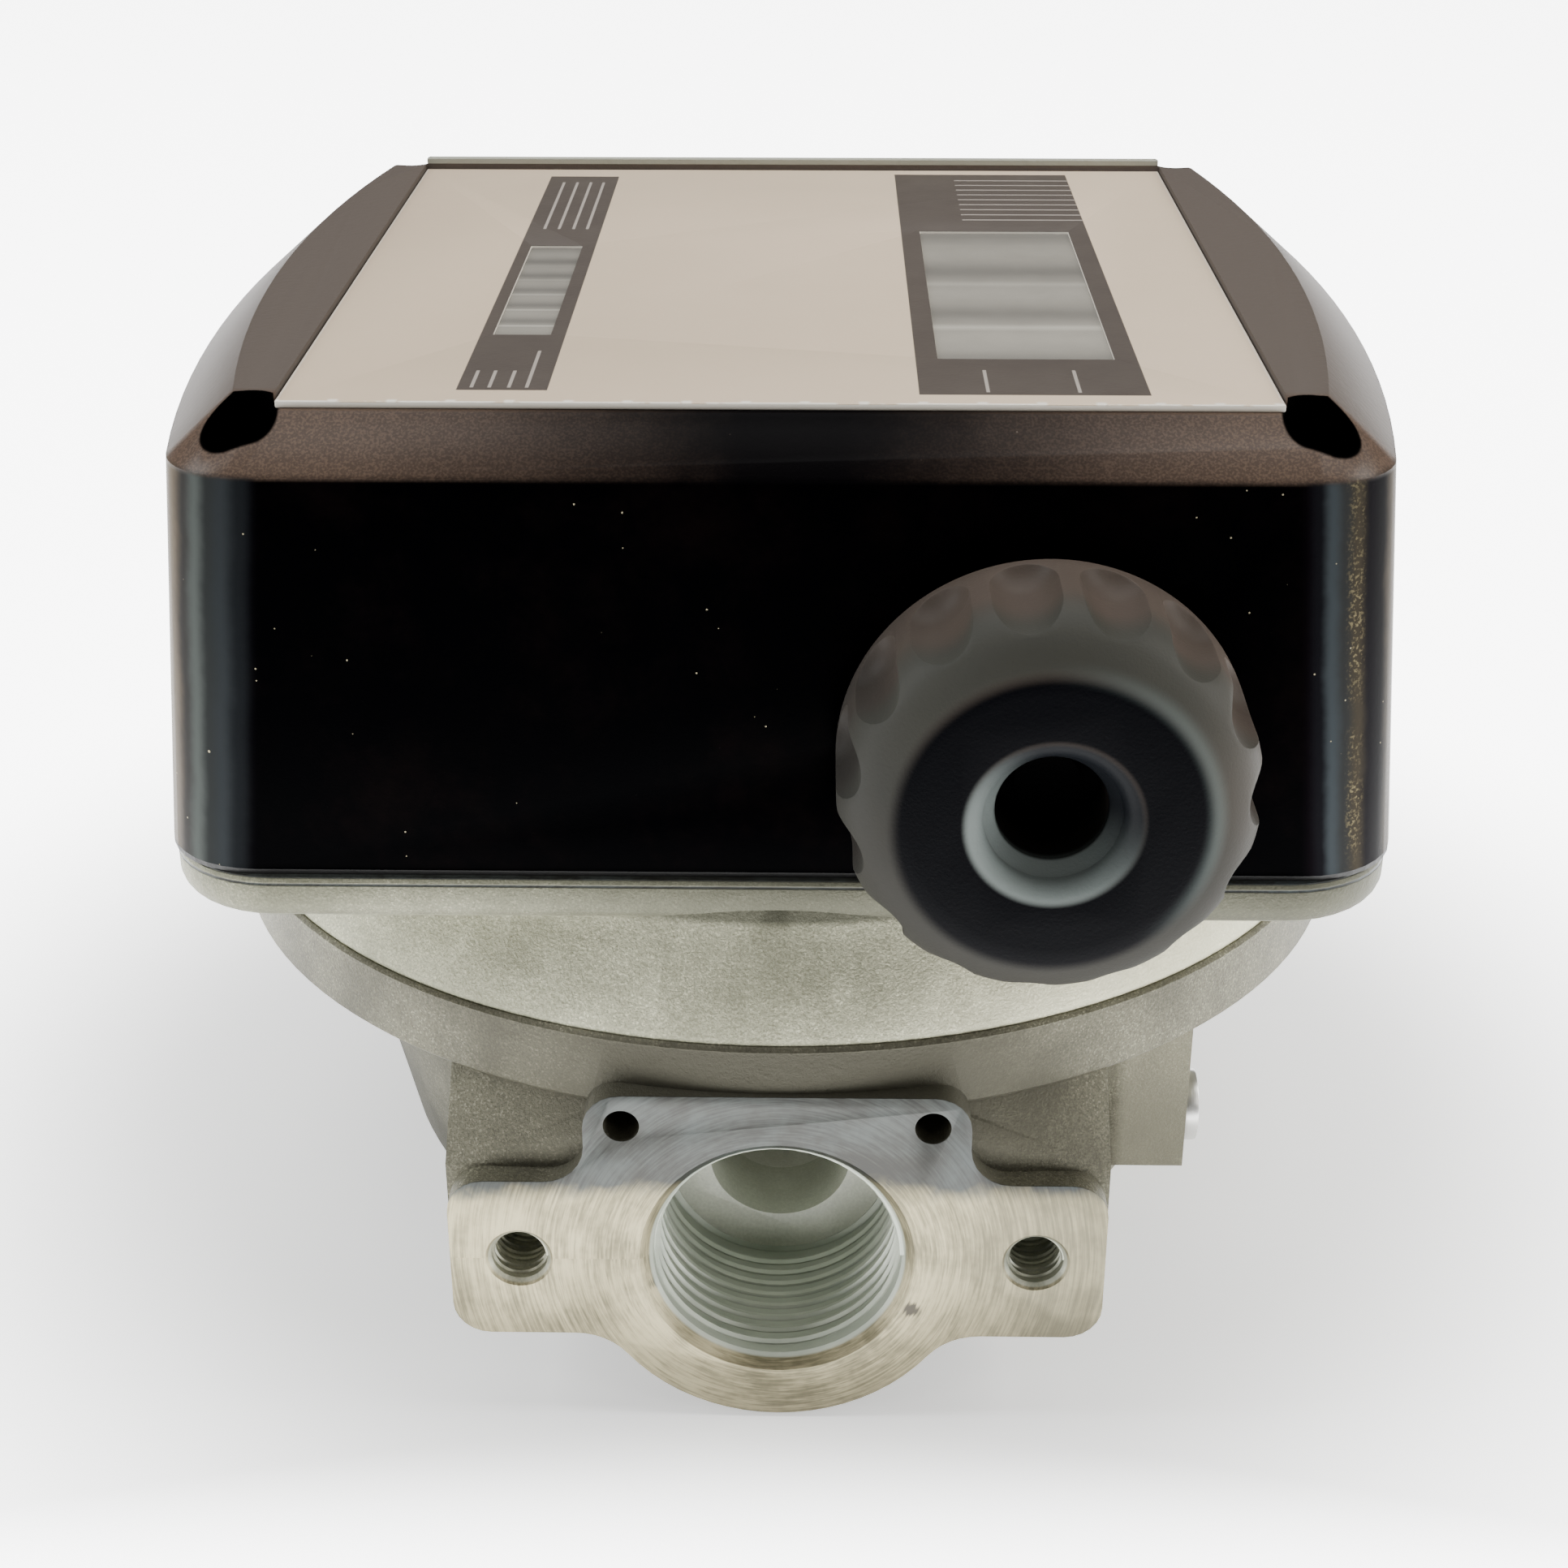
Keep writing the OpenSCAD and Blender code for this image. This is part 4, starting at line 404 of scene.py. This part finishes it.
def printed_plate():
    """A warm grey printed plate with two dark bands round the windows, and scuffed edges."""
    batch_band, total_band = (0.0155, 0.0412, -0.0560, 0.0550), (-0.0361, -0.0259, -0.0550, 0.0530)
    plate_shaded_tone, plate_lit_tone = tone(188, 169, 147), tone(206, 187, 163)
    ink_low, ink_high, line_tone = tone(66, 59, 54), tone(76, 69, 63), tone(150, 142, 134)
    grime_tone, film_white = tone(110, 100, 90), tone(222, 216, 204)
    nib_pitch, nib_shift, nib_width, nib_y = 0.0065, 0.0004, (0.05, 0.12), (-0.05895, -0.0583)
    chip_y, edge_x, side_z = (-0.05925, -0.05905), (0.0551, 0.0553), (0.12572, 0.12582)

    f = Finish("printed_plate", Specular_IOR_Level=0.35)
    haze = f.noise(0.03, 3.0, 0.6)
    # Painted light: the plate lighter towards the right.
    plain = f.mix(plate_shaded_tone, plate_lit_tone, f.step(f.x, -0.055, 0.06) * 0.6 + haze * 0.4)
    bands = f.most(f.panel(*batch_band), f.panel(*total_band))
    colour = f.mix(plain, f.mix(ink_low, ink_high, f.noise(0.004, 3.0)), bands)
    colour = f.mix(colour, line_tone, printed_lines(f))
    colour = f.mix(colour, grime_tone, f.specks(0.004, (0.96, 0.97), (0.03, 0.05)) * 0.5)
    # The white film shows where the edge is nicked
    nib = abs(f.math("FRACT", (f.x + nib_shift) / nib_pitch) - 0.5)
    nibs = f.fade(nib, *nib_width) * f.fade(f.y, *nib_y)
    chips = f.fade(f.y, *chip_y) * f.step(f.noise(0.004, 3.0), 0.42, 0.5)
    bare = f.most(nibs, chips, f.step(abs(f.x), *edge_x) * 0.6, f.fade(f.z, *side_z))
    colour = f.mix(colour, film_white, bare)
    rough = blend(0.34, 0.46, f.noise(0.006, 3.0)) + bands * 0.03
    return f.feed(colour, rough, f.bump(f.noise(0.0006, 2.0), 0.00002))


def frosted_pane(name, pitch, first, count, level):
    """A frosted pane; the rounded drums under it show as soft bands across it, their rounding painted as light and
    shade, with painted shade in the gaps, a painted highlight on each drum, and painted light towards the front end.
    """
    dim = tone(96 * level, 93 * level, 87 * level)
    bright = tone(134 * level, 130 * level, 121 * level)
    gap_shade_tone, drum_highlight_tone = tone(80, 78, 74), tone(186, 182, 170)
    front_end, rear_end = first - pitch * 0.55, first + pitch * (count - 0.4)

    f = Finish(name, Specular_IOR_Level=0.4)
    along = (f.y - first) / pitch
    wave = f.math("COSINE", along * (2 * math.pi)) * 0.5 + 0.5
    haze = f.noise(0.004, 4.0, 0.6)
    near = f.fade(f.y, front_end, rear_end)
    # Painted light and shade: the drums' rounding as lighter and darker bands, lighter towards the front end.
    colour = f.mix(dim, bright, wave * 0.45 + haze * 0.2 + near * 0.35)
    # Painted shade in the gaps between the drums.
    colour = f.mix(colour, gap_shade_tone, (1.0 - wave) ** 5.0 * 0.45)
    # A painted highlight on each drum, towards the front end.
    shine = f.inside(f.math("FRACT", along + 0.5), 0.66, 0.74, 0.05)
    colour = f.mix(colour, drum_highlight_tone, shine * 0.5 * near)
    return f.feed(colour, blend(0.35, 0.5, haze), f.bump(f.noise(0.00025, 2.0), 0.00003))


def moulded(name, light, dark, rough=0.5, depth=0.00005, spec=0.5):
    """Moulded plastic or rubber with a fine grain."""
    f = Finish(name, Specular_IOR_Level=spec)
    grain, smear = f.noise(0.0004, 3.0, 0.6), f.noise(0.012, 4.0, 0.6)
    colour = f.mix(dark, light, f.step(grain * 0.4 + smear * 0.6, 0.35, 0.68))
    return f.feed(colour, blend(rough - 0.07, rough + 0.1, smear * 0.6 + grain * 0.4), f.bump(grain, depth))


def turned_metal(name, light, dark, axis, rough=0.3):
    """Bright metal with fine turning rings along one axis."""
    f = Finish(name, Metallic=1.0)
    squeeze = [0.06, 0.06, 0.06]
    squeeze["xyz".index(axis)] = 1.0
    rings, smear = f.noise(0.00018, 3.0, 0.6, f.stretched(*squeeze)), f.noise(0.006, 3.0, 0.6)
    colour = f.mix(dark, light, rings * 0.5 + smear * 0.5)
    return f.feed(colour, blend(rough, rough + 0.2, smear * 0.6 + rings * 0.4), f.bump(rings, 0.00002))


def knob_finish():
    """Dark moulding with painted light and shade: a paler dish and shoulder, lighter towards the top, the dish lit
    towards the lower left; a smooth near-black front ring reaching further down as painted shade; a painted highlight
    arc on the right; black painted inside the hole as shade.
    """
    ring_face, dish_floor, shoulder_start = (0.0868, 0.0880), (0.0840, 0.0848), (0.0790, 0.0850)
    ring_in, ring_out, shoulder_r = (0.0090, 0.0100), (0.0160, 0.0178), (0.0160, 0.0180)
    gleam_in, gleam_out, gleam_soft = 0.0166, 0.0178, 0.0010
    hole_edge, hole_clear, sheen_in = (0.0060, 0.0063), (0.0064, 0.0066), (0.0098, 0.0104)
    rim_shaded, rim_lit = tone(38, 37, 35), tone(68, 60, 54)
    shoulder_tone, gleam_tone = tone(48, 50, 46), tone(88, 97, 95)
    dish_shaded, dish_lit, dust_tone = tone(12, 14, 17), tone(104, 111, 109), tone(150, 148, 140)
    ring_black, hole_shade = (0.0006, 0.0007, 0.0014), (0.0004, 0.0004, 0.0004)

    f = Finish("knob_moulding", Specular_IOR_Level=0.03, Coat_Roughness=0.42)
    grain, smear = f.noise(0.00035, 3.0, 0.6), f.noise(0.009, 4.0, 0.6)
    ahead, dx, dz = -f.y, f.x - knob_x, f.z - knob_z
    radius = f.radius(dx, dz)
    side, up = dx / radius, dz / radius
    near = f.step(ahead, *ring_face)
    front = near * f.step(radius, *ring_in) * f.fade(radius - f.step(-up, -0.3, 0.9) * 0.0007, *ring_out)
    dish = f.fade(radius, *ring_in) * f.step(ahead, *dish_floor)
    shoulder = f.step(radius, *shoulder_r) * f.step(ahead, *shoulder_start)

    # Painted light and shade: the knob's sides lighter towards the top and right.
    colour = f.mix(rim_shaded, rim_lit, f.step(up + side * 0.3, -0.2, 0.95) * 0.8 + smear * 0.2)
    # The shoulder's tone changes with height: painted light and shade.
    colour = f.mix(colour, shoulder_tone, shoulder * blend(0.3, 0.8, f.step(up, -0.2, 0.9)))
    # The near-black front ring reaches further down: painted shade.
    colour = f.mix(colour, ring_black, front)
    # Painted highlight: a light arc on the right, near the front ring's edge.
    gleam = f.inside(radius, gleam_in, gleam_out, gleam_soft) * f.step(side * 0.94 + up * 0.34, 0.2, 1.0) * near
    colour = f.mix(colour, gleam_tone, gleam * 0.5)
    # Painted light and shade in the dish: lit towards the lower left, dark at the top.
    colour = f.mix(colour, f.mix(dish_shaded, dish_lit, f.step(-up - side * 0.7, -0.9, 1.25)), dish)
    # Painted shade: black inside the hole.
    colour = f.mix(colour, hole_shade, f.fade(radius, *hole_edge))
    dust = f.specks(0.0022, (0.97, 0.98), (0.04, 0.07)) * f.step(radius, *hole_clear)
    colour = f.mix(colour, dust_tone, dust * 0.6)
    sheen = f.step(radius, *sheen_in) * blend(0.03, 0.1, f.step(up, -0.3, 0.8)) + dish * 0.06
    rough = blend(0.5, 0.38, front) + grain * 0.08
    return f.feed(colour, rough, f.bump(grain, 0.00004), coat=sheen * (1.0 - front))


def floor_finish():
    """A pale floor that glows as painted light, dimmed round the meter into a painted soft shadow."""
    shadow_edge, front_shadow, far_front = (0.082, 0.19), (0.080, 0.112), (-0.26, -0.14)
    shadow_glow, full_glow = (0.11, 0.11, 0.11), (1.0, 1.0, 1.0)
    f = Finish("studio_floor", Emission_Strength=6.5)
    glow = f.most(f.step(f.radius(f.x, f.y), *shadow_edge), f.step(-f.y, *front_shadow)) * f.step(f.y, *far_front)
    f.link(f.mix(shadow_glow, full_glow, glow), f.shader.inputs["Emission Color"])
    return f.feed(f.mix(tone(248, 248, 248), tone(251, 251, 251), f.noise(0.3)), blend(0.6, 0.7, f.noise(0.1)))


def paint(piece, material):
    piece.data.materials.clear()
    piece.data.materials.append(material)


def settle(piece, smooth):
    """Applies a piece's modifiers and smooths its shading up to an angle in degrees."""
    depsgraph = bpy.context.evaluated_depsgraph_get()
    made = bpy.data.meshes.new_from_object(piece.evaluated_get(depsgraph))
    piece.modifiers.clear()
    piece.data = made
    made.shade_smooth()
    made.set_sharp_from_angle(angle=math.radians(smooth))


def bevelled(node, width, angle):
    """A merged copy of a CAD node whose edges sharper than angle are rounded, standing for the node."""
    weld, flat = 2e-6, math.radians(0.4)
    mesh = nodes[node].data.copy()
    work = bmesh.new()
    work.from_mesh(mesh)
    bmesh.ops.remove_doubles(work, verts=work.verts, dist=weld)
    bmesh.ops.dissolve_limit(work, angle_limit=flat, verts=work.verts, edges=work.edges)
    weight = work.edges.layers.float.new("bevel_weight_edge")
    for edge in work.edges:
        if len(edge.link_faces) == 2 and edge.calc_face_angle(0.0) > math.radians(angle):
            edge[weight] = 1.0
    work.to_mesh(mesh)
    work.free()
    piece = bpy.data.objects.new(node + "_dressed", mesh)
    bpy.context.scene.collection.objects.link(piece)
    bevel = piece.modifiers.new("rounding", "BEVEL")
    bevel.limit_method = "WEIGHT"
    bevel.width = width
    bevel.segments = 2
    bevel.use_clamp_overlap = True
    bevel.miter_outer = "MITER_ARC"
    settle(piece, smooth=32.0)
    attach(piece, body_of[node])
    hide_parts(node)
    return piece


def put(tree, kind, settings=None, inputs=None):
    """Adds one node to a Geometry Nodes tree; an input is a socket to link or a plain value."""
    made = tree.nodes.new(kind)
    for key, value in (settings or {}).items():
        setattr(made, key, value)
    for key, value in (inputs or {}).items():
        if isinstance(value, bpy.types.NodeSocket):
            tree.links.new(value, made.inputs[key])
        else:
            made.inputs[key].default_value = value
    return made


def grown(name, body, material, build, inputs):
    """A piece made by a Geometry Nodes tree. build(tree, sockets) returns the last geometry socket."""
    tree = bpy.data.node_groups.new(name + "_tree", "GeometryNodeTree")
    tree.interface.new_socket("Geometry", in_out="OUTPUT", socket_type="NodeSocketGeometry")
    identifiers = {label: tree.interface.new_socket(label, in_out="INPUT", socket_type="NodeSocketFloat").identifier
                   for label in inputs}
    group_in, group_out = put(tree, "NodeGroupInput"), put(tree, "NodeGroupOutput")
    last = build(tree, {label: group_in.outputs[label] for label in inputs})
    realize = put(tree, "GeometryNodeRealizeInstances", None, {0: last})
    finish = put(tree, "GeometryNodeSetMaterial", None, {"Geometry": realize.outputs[0], "Material": material})
    tree.links.new(finish.outputs[0], group_out.inputs[0])
    piece = bpy.data.objects.new(name, bpy.data.meshes.new(name))
    bpy.context.scene.collection.objects.link(piece)
    modifier = piece.modifiers.new("grow", "NODES")
    modifier.node_group = tree
    for label, value in inputs.items():
        modifier[identifiers[label]] = value
    settle(piece, smooth=40.0)
    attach(piece, body)


def thread(tree, s):
    """A thread's ridge wound round its own bore, laid along Y from the mouth inwards."""
    turns = put(tree, "ShaderNodeMath", {"operation": "DIVIDE"}, {0: s["Length"], 1: s["Pitch"]})
    spiral = put(tree, "GeometryNodeCurveSpiral", None, {
        "Resolution": 48, "Rotations": turns.outputs[0], "Start Radius": s["Radius"],
        "End Radius": s["Radius"], "Height": s["Length"]})
    ridge = put(tree, "GeometryNodeCurvePrimitiveCircle", None, {"Resolution": 6, "Radius": s["Ridge"]})
    swept = put(tree, "GeometryNodeCurveToMesh", None, {0: spiral.outputs[0], 1: ridge.outputs[0], "Fill Caps": True})
    place = put(tree, "ShaderNodeCombineXYZ", None, {0: s["X"], 1: s["Y"], 2: s["Z"]})
    laid = put(tree, "GeometryNodeTransform", None, {
        0: swept.outputs[0], "Translation": place.outputs[0], "Rotation": (math.radians(-90), 0.0, 0.0)})
    return laid.outputs[0]


def soft_light(name, place, aim_z, size, power, colour):
    lamp = bpy.data.lights.new(name, "AREA")
    lamp.shape = "RECTANGLE"
    lamp.size, lamp.size_y = size
    lamp.energy = power
    lamp.color = colour
    stand = bpy.data.objects.new(name, lamp)
    stand.location = place
    stand.rotation_euler = (Vector((0, 0, aim_z)) - Vector(place)).to_track_quat("-Z", "Y").to_euler()
    bpy.context.scene.collection.objects.link(stand)


# Finishes
# The lower casting's tones are darker than the upper casting's: painted shade, the lower body standing in shadow.
cast_lower = cast_metal("cast_lower", tone(102, 100, 84), tone(64, 62, 50), tone(166, 163, 142), machined_port, 0.0)
cast_upper = cast_metal("cast_upper", tone(156, 156, 134), tone(116, 116, 97), tone(224, 220, 192), machined_rim, 0.45)
coat = black_coat()
plate = printed_plate()
batch_pane = frosted_pane("batch_pane", pitch=0.0203, first=-0.0314, count=3, level=1.08)
total_pane = frosted_pane("total_pane", pitch=0.0072, first=-0.0289, count=6, level=1.0)
# Painted shade: the screw deep in the knob's hole is near-black and barely shiny.
shaded_screw = moulded("shaded_screw", tone(6, 6, 6), tone(2, 2, 2), 0.7, 0.00003, spec=0.02)
knob_black = knob_finish()
seal_rubber = moulded("seal_rubber", tone(34, 34, 34), tone(20, 20, 20), 0.6, 0.00006)
screw_steel = turned_metal("screw_steel", tone(160, 158, 152), tone(96, 95, 92), "z", 0.35)
shaft_steel = turned_metal("shaft_steel", tone(190, 190, 190), tone(140, 141, 143), "y", 0.22)
cap_metal = turned_metal("cap_metal", tone(236, 236, 232), tone(190, 190, 186), "x", 0.25)
turned_brass = turned_metal("turned_brass", tone(205, 172, 96), tone(150, 120, 62), "z", 0.25)
white_mould = moulded("white_mould", tone(214, 214, 203), tone(196, 196, 184), 0.42, 0.00003)
disc_mould = moulded("disc_mould", tone(52, 52, 54), tone(36, 36, 38), 0.4, 0.00003)
nozzle_mould = moulded("nozzle_mould", tone(206, 208, 194), tone(182, 184, 170), 0.42, 0.00003)
gear_mould = moulded("gear_mould", tone(222, 216, 198), tone(203, 196, 176), 0.45, 0.00003)
drum_white = moulded("drum_white", tone(232, 232, 228), tone(216, 216, 210), 0.4, 0.00002)
drum_black = moulded("drum_black", tone(40, 40, 40), tone(28, 28, 28), 0.4, 0.00002)
frame_sheet = turned_metal("frame_sheet", tone(182, 184, 186), tone(138, 140, 143), "x", 0.32)

by_slot = {
    "cast_lower": cast_lower, "cast_upper": cast_upper, "black_gloss": coat, "plate": plate, "pane": batch_pane,
    "seal": seal_rubber, "screw": screw_steel, "chamber": white_mould, "disc": disc_mould, "steel": shaft_steel,
    "brass": turned_brass, "gear": gear_mould, "knob": knob_black, "drum_white": drum_white,
    "drum_black": drum_black, "frame": frame_sheet, "cap": cap_metal,
}
for node, slot_name in slot_of.items():
    paint(nodes[node], by_slot[slot_name])
paint(nodes["total_window"], total_pane)
# The knob's screw is painted near-black as shade in its hole.
paint(nodes["knob_screw"], shaded_screw)

# Rounded edges: node, width of the rounding, its finish, and the angle from which an edge is rounded
for node, width, finish, angle in (
        ("register_cover", 0.7 * MM, coat, 32), ("upper_body", 0.7 * MM, cast_upper, 32),
        ("lower_body", 0.8 * MM, cast_lower, 32), ("reset_knob", 0.4 * MM, knob_black, 28),
        ("face_plate", 0.15 * MM, plate, 35), ("outlet_nozzle", 0.5 * MM, nozzle_mould, 35),
        ("calibration_cap", 0.4 * MM, cap_metal, 35)):
    paint(bevelled(node, width, angle), finish)

# Threads in the ports and in the flange's bolt holes; each Y is where the thread starts
pipe_thread = {"Length": 0.0195, "Pitch": 0.002309, "Radius": 0.01519, "Ridge": 0.00055, "X": 0.0, "Z": port_z}
bolt_thread = {"Length": 0.013, "Pitch": 0.00125, "Radius": 0.00342, "Ridge": 0.00032, "Z": port_z}
for end, y in (("front", -0.0757), ("rear", 0.0562)):
    grown(end + "_port_thread", "meter", cast_lower, thread, {**pipe_thread, "Y": y})
for end, y in (("front", -0.0766), ("rear", 0.0636)):
    for side, x in (("left", -bolt_x), ("right", bolt_x)):
        grown("%s_%s_bolt_thread" % (end, side), "meter", cast_lower, thread,
              {**bolt_thread, "X": x, "Y": y})

# The studio: a wide floor, five soft lights and a dim world
floor_reach = 4.0
corners = [(x * floor_reach, y * floor_reach, 0) for x, y in ((-1, -1), (1, -1), (1, 1), (-1, 1))]
floor_mesh = bpy.data.meshes.new("studio_floor")
floor_mesh.from_pydata(corners, [], [(0, 1, 2, 3)])
floor = bpy.data.objects.new("studio_floor", floor_mesh)
bpy.context.scene.collection.objects.link(floor)
paint(floor, floor_finish())

# Each light: name, place, height that it aims at, size, power and colour
for light in (
        ("top_softbox", (0.0, 0.2, 1.1), 0.05, (1.2, 1.0), 16.0, (1.0, 1.0, 1.0)),
        ("left_softbox", (-0.9, -0.05, 0.62), 0.06, (0.35, 0.8), 9.0, (0.95, 0.98, 1.0)),
        ("right_softbox", (0.9, -0.05, 0.62), 0.06, (0.35, 0.8), 10.0, (1.0, 0.99, 0.95)),
        ("front_left_fill", (-0.75, -0.8, 0.75), 0.08, (0.3, 0.5), 2.0, (1.0, 0.97, 0.92)),
        ("front_right_fill", (0.8, -0.8, 0.75), 0.08, (0.3, 0.5), 2.4, (1.0, 0.96, 0.9))):
    soft_light(*light)

world = bpy.data.worlds.new("studio")
world.use_nodes = True
world.node_tree.nodes["Background"].inputs["Color"].default_value = (1.0, 1.0, 1.0, 1.0)
world.node_tree.nodes["Background"].inputs["Strength"].default_value = 0.1
bpy.context.scene.world = world
